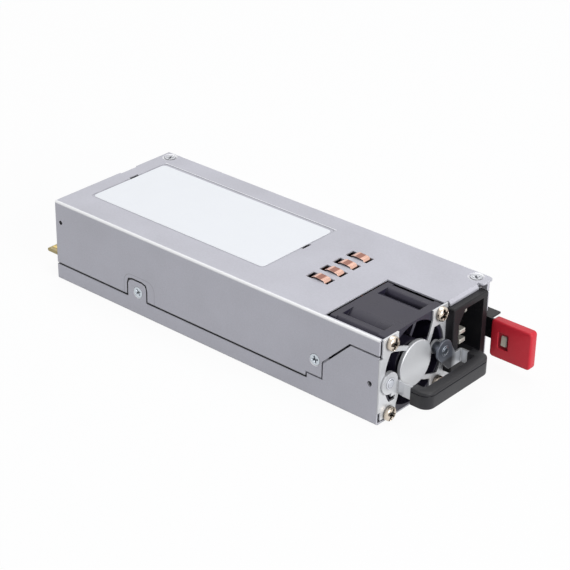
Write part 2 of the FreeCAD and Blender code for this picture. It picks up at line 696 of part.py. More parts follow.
def label():
    """Bare label with rounded corners, lying in its recess."""
    bottom = CASE_HEIGHT - RECESS_DEPTH
    z_range = (bottom, bottom + LABEL_THICKNESS)
    plate = box((LABEL_LEFT, LABEL_RIGHT), behind(LABEL_START, LABEL_END), z_range)
    return round_edges(plate, Z_AXIS, LABEL_CORNER)


def spring_fingers():
    """Copper fingers that arch over the bridge between their slots and ground the unit."""
    rear = FRONT + FINGER_REAR_SLOT[0]
    front = FRONT + FINGER_FRONT_SLOT[1]
    top = CASE_HEIGHT + FINGER_RISE - FINGER_SHEET / 2
    gap = FINGER_LIP
    path = [
        (rear + gap, ROOF - FINGER_TAIL), (rear + gap, CASE_HEIGHT + FINGER_SHEET), (rear - gap, top),
        (front + gap / 2, top), (front - gap, CASE_HEIGHT + FINGER_SHEET), (front - gap, ROOF - FINGER_TAIL),
        (front + gap, ROOF - FINGER_TAIL),
    ]
    outline = band(path, FINGER_SHEET)
    fingers = []
    for index in range(FINGER_COUNT):
        centre = FINGER_FIRST + index * FINGER_PITCH
        fingers.append(prism_x(outline, about(centre, FINGER_WIDTH)))
    return Part.makeCompound(fingers)


# ---- fan ---------------------------------------------------------------------------------
def fan_hole_places():
    """Centres of the four corner holes, on the back of the face plate."""
    left, right = about(FAN_X, FAN_HOLE_PITCH)
    low, high = about(FAN_Z, FAN_HOLE_PITCH)
    return [vec(x, PLATE_BACK, z) for x, z in ((left, low), (right, low), (left, high), (right, high))]


def fan_frame():
    """Square frame with two flanges, round barrel, corner posts, struts and bearing tube."""
    back = PLATE_BACK + FAN_DEPTH
    x_range = about(FAN_X, FAN_SIZE)
    z_range = about(FAN_Z, FAN_SIZE)
    block = box(x_range, (PLATE_BACK, back), z_range)
    flanges = [box(x_range, (PLATE_BACK, PLATE_BACK + FAN_FRONT_FLANGE), z_range),
               box(x_range, (back - FAN_REAR_FLANGE, back), z_range)]
    flanges = [round_edges(flange, Y_AXIS, BEND) for flange in flanges]
    barrel = rod(FAN_CENTRE, Y_AXIS, FAN_BARREL, FAN_DEPTH).common(block)
    posts = [rod(place, Y_AXIS, FAN_POST, FAN_DEPTH).common(block) for place in fan_hole_places()]
    shell = fuse(flanges + [barrel] + posts)
    shell = shell.cut(rod(FAN_CENTRE, Y_AXIS, FAN_THROAT, FAN_DEPTH))
    base_start = vec(FAN_X, back - BASE_THICKNESS, FAN_Z)
    base = rod(base_start, Y_AXIS, BASE_RADIUS, BASE_THICKNESS)
    strut_y = (back - BASE_THICKNESS, back)
    strut = box((FAN_X, FAN_X + FAN_THROAT + SHEET), strut_y, about(FAN_Z, STRUT_WIDTH))
    struts = turned(strut, FAN_CENTRE, Y_AXIS, STRUT_COUNT)
    tube = rod(vec(FAN_X, tube_front(), FAN_Z), Y_AXIS, TUBE_RADIUS, back - tube_front())
    shell = fuse([shell, base, tube] + struts)
    bore = rod(vec(FAN_X, tube_front(), FAN_Z), Y_AXIS, TUBE_BORE, back - tube_front() - SHEET)
    holes = [rod(place, Y_AXIS, FAN_HOLE, FAN_DEPTH) for place in fan_hole_places()]
    return cut(shell, [bore] + holes)


def hub_front():
    """Front face of the rotor's hub along Y."""
    return PLATE_BACK + HUB_GAP


def tube_front():
    """Front end of the bearing tube along Y."""
    return hub_front() + HUB_WALL + 2 * SHEET


def bearings():
    """Two bearing rings in the ends of the tube."""
    rings = []
    back = PLATE_BACK + FAN_DEPTH - 2 * SHEET - BEARING_WIDTH
    for start in (tube_front(), back):
        centre = vec(FAN_X, start, FAN_Z)
        bore = rod(centre, Y_AXIS, SHAFT_RADIUS + SHAFT_CLEARANCE, BEARING_WIDTH)
        rings.append(rod(centre, Y_AXIS, TUBE_BORE, BEARING_WIDTH).cut(bore))
    return Part.makeCompound(rings)


def rotor_shaft():
    """Shaft pressed into the hub and carried by both bearings."""
    start = hub_front() + HUB_WALL
    length = PLATE_BACK + FAN_DEPTH - SHAFT_BACK_GAP - start
    return rod(vec(FAN_X, start, FAN_Z), Y_AXIS, SHAFT_RADIUS, length)


def blade_section(radius, pitch):
    """Cambered section of a blade at one radius, as a closed wire of two arcs and two lines."""
    middle = hub_front() + HUB_LENGTH / 2
    angle = math.radians(pitch)
    points = []
    for along, bow in ((-1, 0), (0, BLADE_BOW), (1, 0)):
        tangent = BLADE_CHORD * (along / 2 * math.cos(angle) - bow * math.sin(angle))
        axial = BLADE_CHORD * (along / 2 * math.sin(angle) + bow * math.cos(angle))
        points.append((FAN_X + tangent, middle + axial))
    corners = [vec(x, y, FAN_Z + radius) for x, y in band(points, BLADE_SHEET)]
    upper = Part.Arc(*corners[:3]).toShape()
    lower = Part.Arc(*corners[3:]).toShape()
    tips = [Part.makeLine(corners[2], corners[3]), Part.makeLine(corners[5], corners[0])]
    return Part.Wire([upper, tips[0], lower, tips[1]])


def blade():
    """One twisted blade, lofted from its root to its tip."""
    ends = ((HUB_RADIUS - SHEET, BLADE_PITCH_ROOT), (FAN_THROAT, BLADE_PITCH_TIP))
    return Part.makeLoft([blade_section(radius, pitch) for radius, pitch in ends], True, True)


def fan_rotor():
    """Cup-shaped hub with its ring of blades."""
    start = vec(FAN_X, hub_front(), FAN_Z)
    hub = rod(start, Y_AXIS, HUB_RADIUS, HUB_LENGTH)
    hub = hub.makeFillet(HUB_WALL, front_rim(hub, hub_front() + FIT))
    reach = rod(start, Y_AXIS, FAN_THROAT - BLADE_TIP_GAP, HUB_LENGTH)
    blades = turned(blade().common(reach), FAN_CENTRE, Y_AXIS, BLADE_COUNT)
    rotor = fuse([hub] + blades)
    inside = rod(vec(FAN_X, hub_front() + HUB_WALL, FAN_Z), Y_AXIS, HUB_RADIUS - HUB_WALL, HUB_LENGTH)
    return rotor.cut(inside)


def fan_stator():
    """Laminated core with four wound poles round the bearing tube."""
    start = hub_front() + 2 * HUB_WALL + 2 * SHEET
    core = rod(vec(FAN_X, start, FAN_Z), Y_AXIS, STATOR_RADIUS, STATOR_LENGTH)
    slot_x = (FAN_X + TUBE_RADIUS + SHEET, FAN_X + HUB_RADIUS)
    slot = box(slot_x, (start, start + STATOR_LENGTH), about(FAN_Z, 2 * SHEET))
    core = cut(core, turned(slot, FAN_CENTRE, Y_AXIS, STATOR_POLES))
    return core.cut(rod(vec(FAN_X, start, FAN_Z), Y_AXIS, TUBE_RADIUS, STATOR_LENGTH))


def fan_screws():
    """Pan-head screws that hold the face plate to the fan."""
    screws = []
    for place in fan_hole_places():
        top = vec(place.x, PLATE_FRONT - FAN_SCREW_HEAD_HEIGHT, place.z)
        head = rod(top, Y_AXIS, FAN_SCREW_HEAD, FAN_SCREW_HEAD_HEIGHT)
        head = head.makeFillet(FAN_SCREW_DOME, front_rim(head, top.y + FIT))
        shank = rod(vec(place.x, PLATE_FRONT, place.z), Y_AXIS, FAN_HOLE - FIT, FAN_SCREW_LENGTH)
        span, depth = FAN_SCREW_CROSS
        screws.append(head.fuse(shank).removeSplitter().cut(cross_recess(top, Y_AXIS, span, depth)))
    return Part.makeCompound(screws)


# ---- face plate --------------------------------------------------------------------------
def guard_corners(y_range, top):
    """Four square patches round the fan screws, with the strips that join them left and right."""
    half = FAN_X - PLATE_LEFT
    corners = []
    for side in (-1, 1):
        x_range = sorted((FAN_X + side * GUARD_PATCH, FAN_X + side * half))
        corners.append(box(x_range, y_range, (FAN_Z + GUARD_PATCH, top)))
        corners.append(box(x_range, y_range, (PLATE_BOTTOM, FAN_Z - GUARD_PATCH)))
        strip = box(x_range, y_range, about(FAN_Z, 2 * GUARD_PATCH))
        corners.append(strip.cut(rod(vec(FAN_X, y_range[0], FAN_Z), Y_AXIS, GUARD_OPENING, PLATE_SHEET)))
    return corners


def guard_disc():
    """Raised disc over the hub, dished out of the sheet."""
    start = vec(FAN_X, PLATE_FRONT - GUARD_DISC_PROUD, FAN_Z)
    disc = rod(start, Y_AXIS, GUARD_DISC, PLATE_SHEET + GUARD_DISC_PROUD)
    rim = front_rim(disc, PLATE_FRONT - FIT)
    hollow = rod(vec(FAN_X, PLATE_FRONT, FAN_Z), Y_AXIS, GUARD_DISC - PLATE_SHEET, PLATE_SHEET)
    return disc.makeFillet(GUARD_DISC_PROUD / 2, rim), hollow


def handle_eye_seats(y_range, fan_right):
    """Ears of the plate that the two handle straps are riveted to."""
    eye_x, eye_z = RIGHT_EYE
    return [rod(vec(LEFT_EYE[0], PLATE_FRONT, LEFT_EYE[1]), Y_AXIS, LEFT_EYE_RADIUS, PLATE_SHEET),
            rod(vec(eye_x, PLATE_FRONT, eye_z), Y_AXIS, EAR_RADIUS, PLATE_SHEET),
            box((eye_x, fan_right), y_range, about(eye_z, EAR_RADIUS))]


def face_plate():
    """Stamped plate: fan guard with swirled spokes, side lug and the frame round the inlet."""
    y_range = (PLATE_FRONT, PLATE_BACK)
    top = FAN_Z + FAN_SIZE / 2
    fan_right = 2 * FAN_X - PLATE_LEFT
    disc, hollow = guard_disc()
    path = [(FAN_X + x, FAN_Z + z) for x, z in GUARD_SPOKE]
    spokes = turned(prism_y(band(path, GUARD_SPOKE_WIDTH), y_range), FAN_CENTRE, Y_AXIS, GUARD_SPOKES)
    lug_low, lug_high = PLATE_SIDE_LUG
    lug = box((-HALF, PLATE_LEFT), y_range, (lug_low, lug_high))
    flange_y = (PLATE_FRONT, PLATE_FRONT + PLATE_FLANGE_LENGTH)
    flange = box((-INNER, -INNER + PLATE_SHEET), flange_y, (lug_low + BEND, lug_high - BEND))
    frame = prism_y([(fan_right - SHEET, PLATE_BOTTOM), (PLATE_FOOT_RIGHT, PLATE_BOTTOM),
                     (PLATE_FOOT_RIGHT, PLATE_FOOT_HEIGHT), (PLATE_RIGHT, PLATE_FOOT_HEIGHT + SHEET),
                     (PLATE_RIGHT, INLET_TOP), (fan_right - SHEET, INLET_TOP)], y_range)
    parts = guard_corners(y_range, top) + handle_eye_seats(y_range, fan_right) + spokes
    plate = fuse([disc, lug, flange, frame] + parts).cut(hollow)
    width, height = [size + 2 * (INLET_BODY_MARGIN + FIT) for size in INLET_CAVITY]
    tools = [box(about(INLET_X, width), y_range, about(INLET_Z, height))]
    for place in fan_hole_places():
        tools.append(rod(place, -Y_AXIS, FAN_HOLE, PLATE_SHEET))
    for x, z in (LEFT_EYE, RIGHT_EYE):
        tools.append(rod(vec(x, PLATE_FRONT, z), Y_AXIS, HANDLE_RIVET_SHANK, PLATE_SHEET))
    distance, height = PEEP_PLACE
    tools.append(rod(vec(-HALF, FRONT + distance, height), X_AXIS, PEEP_HOLE, 2 * BEND))
    return cut(plate, tools)


# ---- inlet -------------------------------------------------------------------------------
def socket_back():
    """Back of the socket's floor along Y."""
    return FRONT - INLET_REACH + INLET_CAVITY_DEPTH + INLET_BACK_WALL


def cavity_outline():
    """Outline of the socket: a rectangle with two corners cut on the earth side."""
    half_x, half_z = INLET_CAVITY[0] / 2, INLET_CAVITY[1] / 2
    cut_x, cut_z = INLET_CHAMFER
    points = [(half_x, -half_z), (half_x, half_z), (cut_x - half_x, half_z), (-half_x, half_z - cut_z),
              (-half_x, cut_z - half_z), (cut_x - half_x, -half_z)]
    return [(INLET_X + x, INLET_Z + z) for x, z in points]


def inlet_housing():
    """Moulded inlet: bezel in front of the face plate and a deep socket behind it."""
    front = FRONT - INLET_REACH
    bezel = round_edges(box(INLET_BEZEL_X, (front, PLATE_FRONT), INLET_BEZEL_Z), Y_AXIS, INLET_EDGE_ROUND)
    bezel = bezel.makeFillet(INLET_EDGE_ROUND / 2, front_rim(bezel, front + FIT))
    width, height = [size + 2 * INLET_BODY_MARGIN for size in INLET_CAVITY]
    body = box(about(INLET_X, width), (PLATE_FRONT, socket_back()), about(INLET_Z, height))
    body = round_edges(body, Y_AXIS, INLET_EDGE_ROUND)
    socket = prism_y(cavity_outline(), (front - FIT, socket_back() - INLET_BACK_WALL))
    pins = [box(*pin) for pin in pin_ranges()]
    return cut(fuse([bezel, body]), [socket] + pins)


def pin_ranges():
    """Boxes of the earth, line and neutral blades."""
    earth = (INLET_X - PIN_OFFSET, INLET_Z, EARTH_TIP)
    line = (INLET_X + PIN_OFFSET, INLET_Z + PIN_SPREAD, LINE_TIP)
    neutral = (INLET_X + PIN_OFFSET, INLET_Z - PIN_SPREAD, LINE_TIP)
    ranges = []
    for x, z, tip in (earth, line, neutral):
        ranges.append((about(x, PIN_WIDTH), (FRONT - tip, socket_back() + PIN_TAIL), about(z, PIN_SHEET)))
    return ranges


def inlet_pins():
    """Three flat blades with chamfered tips."""
    pins = []
    for pin in pin_ranges():
        blank = box(*pin)
        pins.append(blank.makeChamfer(PIN_TIP, front_rim(blank, pin[1][0] + FIT)))
    return Part.makeCompound(pins)


def inlet_board():
    """Small upright board that the inlet's blades are soldered into."""
    start = socket_back() + PIN_TAIL - BOARD
    width, height = INLET_CAVITY
    z_range = (SHEET + SHEET_FILM, INLET_Z + height / 2)
    board = box(about(INLET_X, width + 2 * INLET_BODY_MARGIN), (start, start + BOARD), z_range)
    return cut(board, [box(*pin) for pin in pin_ranges()])


# ---- handle ------------------------------------------------------------------------------
def strap_edge_y(reach):
    """Y of a point that stands a given reach in front of the case."""
    return FRONT - reach


def eye_bore(x, z):
    """Bore for a handle rivet, through everything in front of the case."""
    return rod(vec(x, strap_edge_y(GRIP_REACH), z), Y_AXIS, HANDLE_RIVET_SHANK, GRIP_REACH)


def left_bracket():
    """Steel strap: round eye on the face plate, bent forwards along the grip's left leg."""
    eye_x, eye_z = LEFT_EYE
    eye = rod(vec(eye_x, PLATE_FRONT - STRAP, eye_z), Y_AXIS, LEFT_EYE_RADIUS, STRAP)
    middle = PLATE_FRONT - STRAP / 2
    path = [(eye_x + EYE_OVERLAP, middle), (LEFT_BEND_X - STRAP / 2, middle),
            (LEFT_BEND_X, PLATE_FRONT - STRAP), (LEFT_ARM_X, PLATE_FRONT - STRAP - LEFT_KINK),
            (LEFT_ARM_X, strap_edge_y(STRAP_REACH))]
    arm = prism_z(band(path, STRAP), (STRAP_BOTTOM, STRAP_TOP))
    return fuse([eye, arm]).cut(eye_bore(eye_x, eye_z))


def right_eye_front():
    """Front face of the right eye, clear of the inlet's bezel."""
    return FRONT - INLET_REACH - FIT - STRAP


def right_bracket():
    """Steel strap in front of the inlet: eye on a standoff, necked down and bent forwards."""
    front = right_eye_front()
    eye_x, eye_z = RIGHT_EYE
    eye = rod(vec(eye_x, front, eye_z), Y_AXIS, RIGHT_EYE_RADIUS, STRAP)
    reach = RIGHT_EYE_RADIUS * math.sqrt(0.5)
    neck_outline = [
        (eye_x + reach, eye_z + reach), (RIGHT_ARM_X - GRIP_WALL, STRAP_TOP), (RIGHT_ARM_X, STRAP_TOP),
        (RIGHT_ARM_X, STRAP_BOTTOM), (eye_x + reach, STRAP_BOTTOM), (eye_x - reach, eye_z - reach),
    ]
    neck = prism_y(neck_outline, (front, front + STRAP))
    path = [(RIGHT_ARM_X - GRIP_WALL, front + STRAP / 2), (RIGHT_ARM_X - STRAP / 2, front + STRAP / 2),
            (RIGHT_ARM_X, front), (RIGHT_ARM_X, strap_edge_y(STRAP_REACH))]
    arm = prism_z(band(path, STRAP), (STRAP_BOTTOM, STRAP_TOP))
    return fuse([eye, neck, arm]).cut(eye_bore(eye_x, eye_z))


def handle_standoff():
    """Spacer between the face plate and the right eye."""
    back = right_eye_front() + STRAP
    eye_x, eye_z = RIGHT_EYE
    post = rod(vec(eye_x, back, eye_z), Y_AXIS, STANDOFF_RADIUS, PLATE_FRONT - back)
    return post.cut(eye_bore(eye_x, eye_z))


def handle_rivets():
    """Rivets that fix both straps to the face plate."""
    rivets = []
    for (x, z), front in ((LEFT_EYE, PLATE_FRONT - STRAP), (RIGHT_EYE, right_eye_front())):
        head = rod(vec(x, front - HANDLE_RIVET_RISE, z), Y_AXIS, HANDLE_RIVET_HEAD, HANDLE_RIVET_RISE)
        head = head.makeFillet(HANDLE_RIVET_DOME, front_rim(head, front - FIT))
        shank = rod(vec(x, front, z), Y_AXIS, HANDLE_RIVET_SHANK - FIT, PLATE_BACK - front)
        rivets.append(head.fuse(shank).removeSplitter())
    return Part.makeCompound(rivets)


def handle_grip():
    """Moulded U-shaped grip over the two straps."""
    z_range = (GRIP_BOTTOM, GRIP_TOP)
    front = strap_edge_y(GRIP_REACH)
    back = strap_edge_y(GRIP_START)
    outer = box((GRIP_LEFT, GRIP_RIGHT), (front, back), z_range)
    outer = round_edges(outer, Z_AXIS, GRIP_CORNER, lambda point: point.y < front + FIT)
    rims = [edge for edge in outer.Edges if edge.BoundBox.ZLength < FIT]
    outer = outer.makeFillet(GRIP_EDGE, rims)
    inner_x = (GRIP_LEFT + GRIP_WALL, GRIP_RIGHT - GRIP_WALL)
    inner_z = (GRIP_BOTTOM - GRIP_EDGE, GRIP_TOP + GRIP_EDGE)
    inner = box(inner_x, (front + GRIP_BAR, back + GRIP_EDGE), inner_z)
    inner = round_edges(inner, Z_AXIS, GRIP_INNER_CORNER, lambda point: point.y < front + GRIP_BAR + FIT)
    slots = []
    for centre in (LEFT_ARM_X, RIGHT_ARM_X):
        slot_y = (strap_edge_y(STRAP_REACH), back + GRIP_EDGE)
        slots.append(box(about(centre, STRAP), slot_y, (STRAP_BOTTOM, STRAP_TOP)))
    return cut(outer, [inner] + slots)


# ---- latch -------------------------------------------------------------------------------
def latch_rivet_places():
    """Start points of the two rivets that hold the latch's foot."""
    middle = (LATCH_BOTTOM + LATCH_TOP) / 2
    left = LATCH_X - LATCH_SHEET / 2
    length = LATCH_FOOT_END - LUG_START
    return [vec(left, FRONT + LUG_START + length * share, middle) for share in LATCH_RIVET_SHARES]


def latch_foot():
    """Fixed rear end of the latch spring, riveted to the lug of the tray."""
    x_range = about(LATCH_X, LATCH_SHEET)
    z_range = (LATCH_BOTTOM, LATCH_TOP)
    leaf = box(x_range, behind(LATCH_PIVOT + LATCH_SHEET / 2 + LATCH_ROUND_GAP, LATCH_FOOT_END), z_range)
    pad = box((x_range[1], INNER - SHEET), behind(LUG_START, LATCH_FOOT_END), z_range)
    holes = [rod(start - X_AXIS, X_AXIS, LATCH_RIVET_RADIUS, CASE_WIDTH) for start in latch_rivet_places()]
    return cut(fuse([leaf, pad]), holes)


def latch_rivets():
    """Rivets through the foot and the lug."""
    rivets = []
    for start in latch_rivet_places():
        shank = rod(start, X_AXIS, LATCH_RIVET_RADIUS - FIT / 2, INNER - start.x)
        head = rod(start - X_AXIS * SHEET, X_AXIS, LATCH_RIVET_HEAD, SHEET)
        head = head.makeFillet(SHEET / 2, [edge for edge in head.Edges if edge.BoundBox.XMax < start.x - FIT])
        rivets.append(head.fuse(shank).removeSplitter())
    return Part.makeCompound(rivets)


def latch_strip():
    """Swinging leaf of the latch with the locking fin bent out of its top edge."""
    leaf = box(about(LATCH_X, LATCH_SHEET), behind(-LATCH_REACH, LATCH_PIVOT), (LATCH_BOTTOM, LATCH_TOP))
    pivot = vec(LATCH_X, FRONT + LATCH_PIVOT, LATCH_BOTTOM)
    knuckle = rod(pivot, Z_AXIS, LATCH_SHEET / 2, LATCH_TOP - LATCH_BOTTOM)
    fin_outline = [
        (LATCH_X, FRONT - FIN_FRONT), (FIN_REACH, FRONT - FIN_FRONT),
        (FIN_REACH, FRONT + FIN_FLAT_END), (LATCH_X, FRONT + FIN_RAMP_END),
    ]
    fin = prism_z(fin_outline, (LATCH_TOP - LATCH_SHEET, LATCH_TOP))
    return fuse([leaf, knuckle, fin])


def latch_tab():
    """Moulded finger tab pushed over the front end of the leaf."""
    thick, length, height = LATCH_TAB
    x_range = about(LATCH_X + LATCH_SHEET / 2, thick)
    start = strap_edge_y(LATCH_TAB_START)
    end = strap_edge_y(LATCH_TAB_START + length)
    tab = box(x_range, (end, start), (LATCH_TAB_BOTTOM, LATCH_TAB_BOTTOM + height))
    tab = round_edges(tab, X_AXIS, LATCH_TAB_ROUND)
    rim = [edge for edge in tab.Edges if edge.BoundBox.XLength < FIT]
    tab = tab.makeFillet(LATCH_TAB_EDGE, rim)
    slot_y = (strap_edge_y(LATCH_REACH), start + LATCH_SHEET)
    slot = box(about(LATCH_X, LATCH_SHEET), slot_y, (LATCH_BOTTOM, LATCH_TOP))
    width, window_height = LATCH_WINDOW
    window_y = (start - LATCH_WINDOW_START - width, start - LATCH_WINDOW_START)
    window_z = about(LATCH_TAB_BOTTOM + height / 2, window_height)
    window = box((x_range[0] - LATCH_SHEET, LATCH_X), window_y, window_z)
    return cut(tab, [slot, window])


# ---- boards and power parts ----------------------------------------------------------------
def standoff_places(height):
    """Centres of the four board posts at one height."""
    return [vec(x, FRONT + distance, height) for x, distance in STANDOFF_PLACES]


def main_board():
    """Main circuit board on its standoffs."""
    half = INNER - BOARD_MARGIN
    board = box((-half, half), behind(BOARD_START, BOARD_END), (BOARD_HEIGHT, BOARD_TOP))
    notch_y = behind(BOARD_START, LATCH_FOOT_END + SHEET)
    notch = box((LATCH_X - 2 * LATCH_SHEET, half), notch_y, (0, CASE_HEIGHT))
    holes = [rod(place, Z_AXIS, BOARD_SCREW, CASE_HEIGHT) for place in standoff_places(0)]
    return cut(board, [notch] + holes)


def insulation_sheet():
    """Thin film between the floor and the board."""
    half = INNER - BOARD_MARGIN
    film = box((-half, half), behind(BOARD_START, BOARD_END), (SHEET, SHEET + SHEET_FILM))
    return cut(film, [rod(place, Z_AXIS, STANDOFF, CASE_HEIGHT) for place in standoff_places(0)])


def board_standoffs():
    """Threaded posts pressed into the floor."""
    posts = []
    for place in standoff_places(SHEET):
        post = rod(place, Z_AXIS, STANDOFF, BOARD_HEIGHT - SHEET)
        posts.append(post.cut(rod(place, Z_AXIS, BOARD_SCREW, BOARD_HEIGHT)))
    return Part.makeCompound(posts)


def board_screws():
    """Pan-head screws through the board into the posts."""
    screws = []
    for place in standoff_places(SHEET):
        top = vec(place.x, place.y, BOARD_TOP)
        head = rod(top, Z_AXIS, BOARD_SCREW_HEAD, BOARD_SCREW_HEAD_HEIGHT)
        shank = rod(place, Z_AXIS, BOARD_SCREW - FIT, BOARD_TOP - SHEET)
        screws.append(head.fuse(shank).removeSplitter())
    return Part.makeCompound(screws)


def output_board():
    """Board whose rear edge is the plug-in card edge, bevelled at the tip."""
    half = CARD_WIDTH / 2
    y_range = (FRONT + CARD_START, REAR + CARD_REACH)
    card = box((-half, half), y_range, (CARD_HEIGHT, CARD_HEIGHT + BOARD))
    tip = edges_along(card, X_AXIS, lambda point: point.y > REAR)
    return card.makeChamfer(CARD_BEVEL, tip)


def edge_contacts():
    """Gold contacts on both faces of the card edge."""
    contacts = []
    end = REAR + CARD_REACH - 2 * CARD_BEVEL
    for index in range(CONTACT_COUNT):
        centre = (index - (CONTACT_COUNT - 1) / 2) * CONTACT_PITCH
        for bottom in (CARD_HEIGHT - CONTACT_SHEET, CARD_HEIGHT + BOARD):
            z_range = (bottom, bottom + CONTACT_SHEET)
            contacts.append(box(about(centre, CONTACT_WIDTH), (end - CONTACT_LENGTH, end), z_range))
    return Part.makeCompound(contacts)


def bus_bars():
    """Copper blocks that join the two boards."""
    bars = []
    width, length = BUS_BAR
    for x in (-CARD_WIDTH / 4, CARD_WIDTH / 4):
        start = FRONT + CARD_START + length
        bars.append(box(about(x, width), (start, start + length), (BOARD_TOP, CARD_HEIGHT)))
    return Part.makeCompound(bars)


def ringed(start, direction, radius, length, groove):
    """Cylinder with one rolled groove near its start."""
    offset, width, depth = groove
    body = rod(start, direction, radius, length)
    place = start + direction * offset
    ring = rod(place, direction, radius + depth, width).cut(rod(place, direction, radius - depth, width))
    return body.cut(ring)


def bulk_capacitor():
    """Large reservoir capacitor lying along the board."""
    x, distance = BULK_PLACE
    radius, length = BULK_SIZE
    return ringed(vec(x, FRONT + distance, BOARD_TOP + radius), Y_AXIS, radius, length, BULK_GROOVE)


def output_capacitors():
    """Row of upright capacitors before the card."""
    radius, height = OUTPUT_CAN
    cans = []
    for index in range(CAN_COUNT):
        foot = vec(CAN_FIRST + index * CAN_PITCH, FRONT + CAN_ROW, BOARD_TOP)
        can = ringed(foot, Z_AXIS, radius, height, CAN_GROOVE)
        rim = [edge for edge in can.Edges if edge.BoundBox.ZMin > BOARD_TOP + height - FIT]
        cans.append(can.makeFillet(CAN_EDGE, rim))
    return Part.makeCompound(cans)


def toroid(place):
    """Wound ring core standing on the board, its axis along Y."""
    x, distance, ring, tube = place
    return Part.makeTorus(ring, tube, vec(x, FRONT + distance, BOARD_TOP + ring + tube), Y_AXIS)


def transformer():
    """Ferrite core round a wound bobbin."""
    y_range = behind(*CORE_Y)
    core = box(CORE_X, y_range, (BOARD_TOP, BOARD_TOP + CORE_HEIGHT))
    window_x = (CORE_X[0] + CORE_LEG, CORE_X[1] - CORE_LEG)
    window = box(window_x, y_range, (BOARD_TOP + CORE_YOKE, BOARD_TOP + CORE_HEIGHT - CORE_YOKE))
    centre = vec(sum(CORE_X) / 2, y_range[0] - WINDING_OVERHANG, BOARD_TOP + CORE_HEIGHT / 2)
    winding = rod(centre, Y_AXIS, WINDING_RADIUS, y_range[1] - y_range[0] + 2 * WINDING_OVERHANG)
    return core.cut(window), winding


def heatsink(place, fins):
    """Extruded plate with fins on its right side, standing on the board."""
    x, y_start, y_end, height, reach = place
    y_range = behind(y_start, y_end)
    parts = [box((x, x + SINK_BASE), y_range, (BOARD_TOP, BOARD_TOP + height))]
    for index in range(fins):
        z = BOARD_TOP + SINK_BASE + index * (height - SINK_BASE - SINK_FIN) / (fins - 1)
        parts.append(box((x, x + SINK_BASE + reach), y_range, (z, z + SINK_FIN)))
    return fuse(parts)


def power_transistors():
    """Flat packages on the face of the primary heatsink."""
    thick, width, height = TRANSISTOR
    x, y_start, y_end = PRIMARY_SINK[:3]
    packages = []
    for index in range(int((y_end - y_start - width) / TRANSISTOR_PITCH) + 1):
        start = FRONT + y_start + SINK_BASE + index * TRANSISTOR_PITCH
        packages.append(box((x - thick, x), (start, start + width), (BOARD_TOP, BOARD_TOP + height)))
    return Part.makeCompound(packages)


def block(place):
    """Box-shaped part that stands on the main board."""
    x, distance, width, length, height = place
    return box((x, x + width), behind(distance, distance + length), (BOARD_TOP, BOARD_TOP + height))


def fuse_link():
    """Cylindrical fuse lying across the board."""
    x, distance, radius, length = FUSE
    return rod(vec(x, FRONT + distance, BOARD_TOP + radius), X_AXIS, radius, length)


def varistor():
    """Upright disc that limits surges."""
    x, distance, radius, thick = VARISTOR
    return rod(vec(x, FRONT + distance, BOARD_TOP + radius), Y_AXIS, radius, thick)


# ---- nodes -------------------------------------------------------------------------------
def build_nodes():
    """Every sub-part by node name."""
    core, winding = transformer()
    sides = [case_screw(place, inwards) for place, inwards in side_screw_places()]
    tops = [case_screw(place, inwards) for place, inwards in top_screw_places()]
    return {
        "base_tray": base_tray(), "top_cover": top_cover(), "rear_panel": rear_panel(),
        "side_screws": Part.makeCompound(sides), "top_screws": Part.makeCompound(tops),
        "rating_label": label(), "spring_fingers": spring_fingers(), "face_plate": face_plate(),
        "fan_screws": fan_screws(), "fan_frame": fan_frame(), "fan_bearings": bearings(),
        "fan_stator": fan_stator(), "fan_rotor": fan_rotor(), "rotor_shaft": rotor_shaft(),
        "inlet_housing": inlet_housing(), "inlet_pins": inlet_pins(), "inlet_board": inlet_board(),
        "left_handle_bracket": left_bracket(), "right_handle_bracket": right_bracket(),
        "handle_standoff": handle_standoff(), "handle_rivets": handle_rivets(),
        "handle_grip": handle_grip(), "latch_foot": latch_foot(), "latch_rivets": latch_rivets(),
        "latch_strip": latch_strip(), "latch_tab": latch_tab(), "main_board": main_board(),
        "insulation_sheet": insulation_sheet(), "board_standoffs": board_standoffs(),
        "board_screws": board_screws(), "output_board": output_board(), "edge_contacts": edge_contacts(),
        "bus_bars": bus_bars(), "bulk_capacitor": bulk_capacitor(), "filter_choke": toroid(FILTER_CHOKE),
        "boost_choke": toroid(BOOST_CHOKE), "transformer_core": core, "transformer_winding": winding,
        "primary_heatsink": heatsink(PRIMARY_SINK, PRIMARY_SINK_FINS),
        "output_heatsink": heatsink(OUTPUT_SINK, OUTPUT_SINK_FINS),
        "power_transistors": power_transistors(), "output_capacitors": output_capacitors(),
        "x_capacitor": block(X_CAPACITOR), "bridge_rectifier": block(BRIDGE), "relay": block(RELAY),
        "control_board": block(CONTROL_BOARD), "input_fuse": fuse_link(), "varistor": varistor(),
    }


def main():
    """Write one STEP file for each node."""
    os.makedirs("parts", exist_ok=True)
    for name, shape in build_nodes().items():
        shape.exportStep(os.path.join("parts", name + ".step"))
        print(name, len(shape.Solids), "solids", round(shape.Volume, 1), "mm3", shape.isValid())


main()
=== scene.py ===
"""Looks of a hot swap server power supply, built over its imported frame.

The case is galvanised sheet, the fan, inlet and grip are dark mouldings, and the latch has a red finger tab.
Sizes are in metres in the frame's own axes: X across, Y from the front to the card edge, Z up.
"""
from __future__ import annotations

import json
import logging
import math
from collections.abc import Callable
from dataclasses import dataclass
from enum import Enum

import bmesh
import bpy
from mathutils import Matrix, Vector

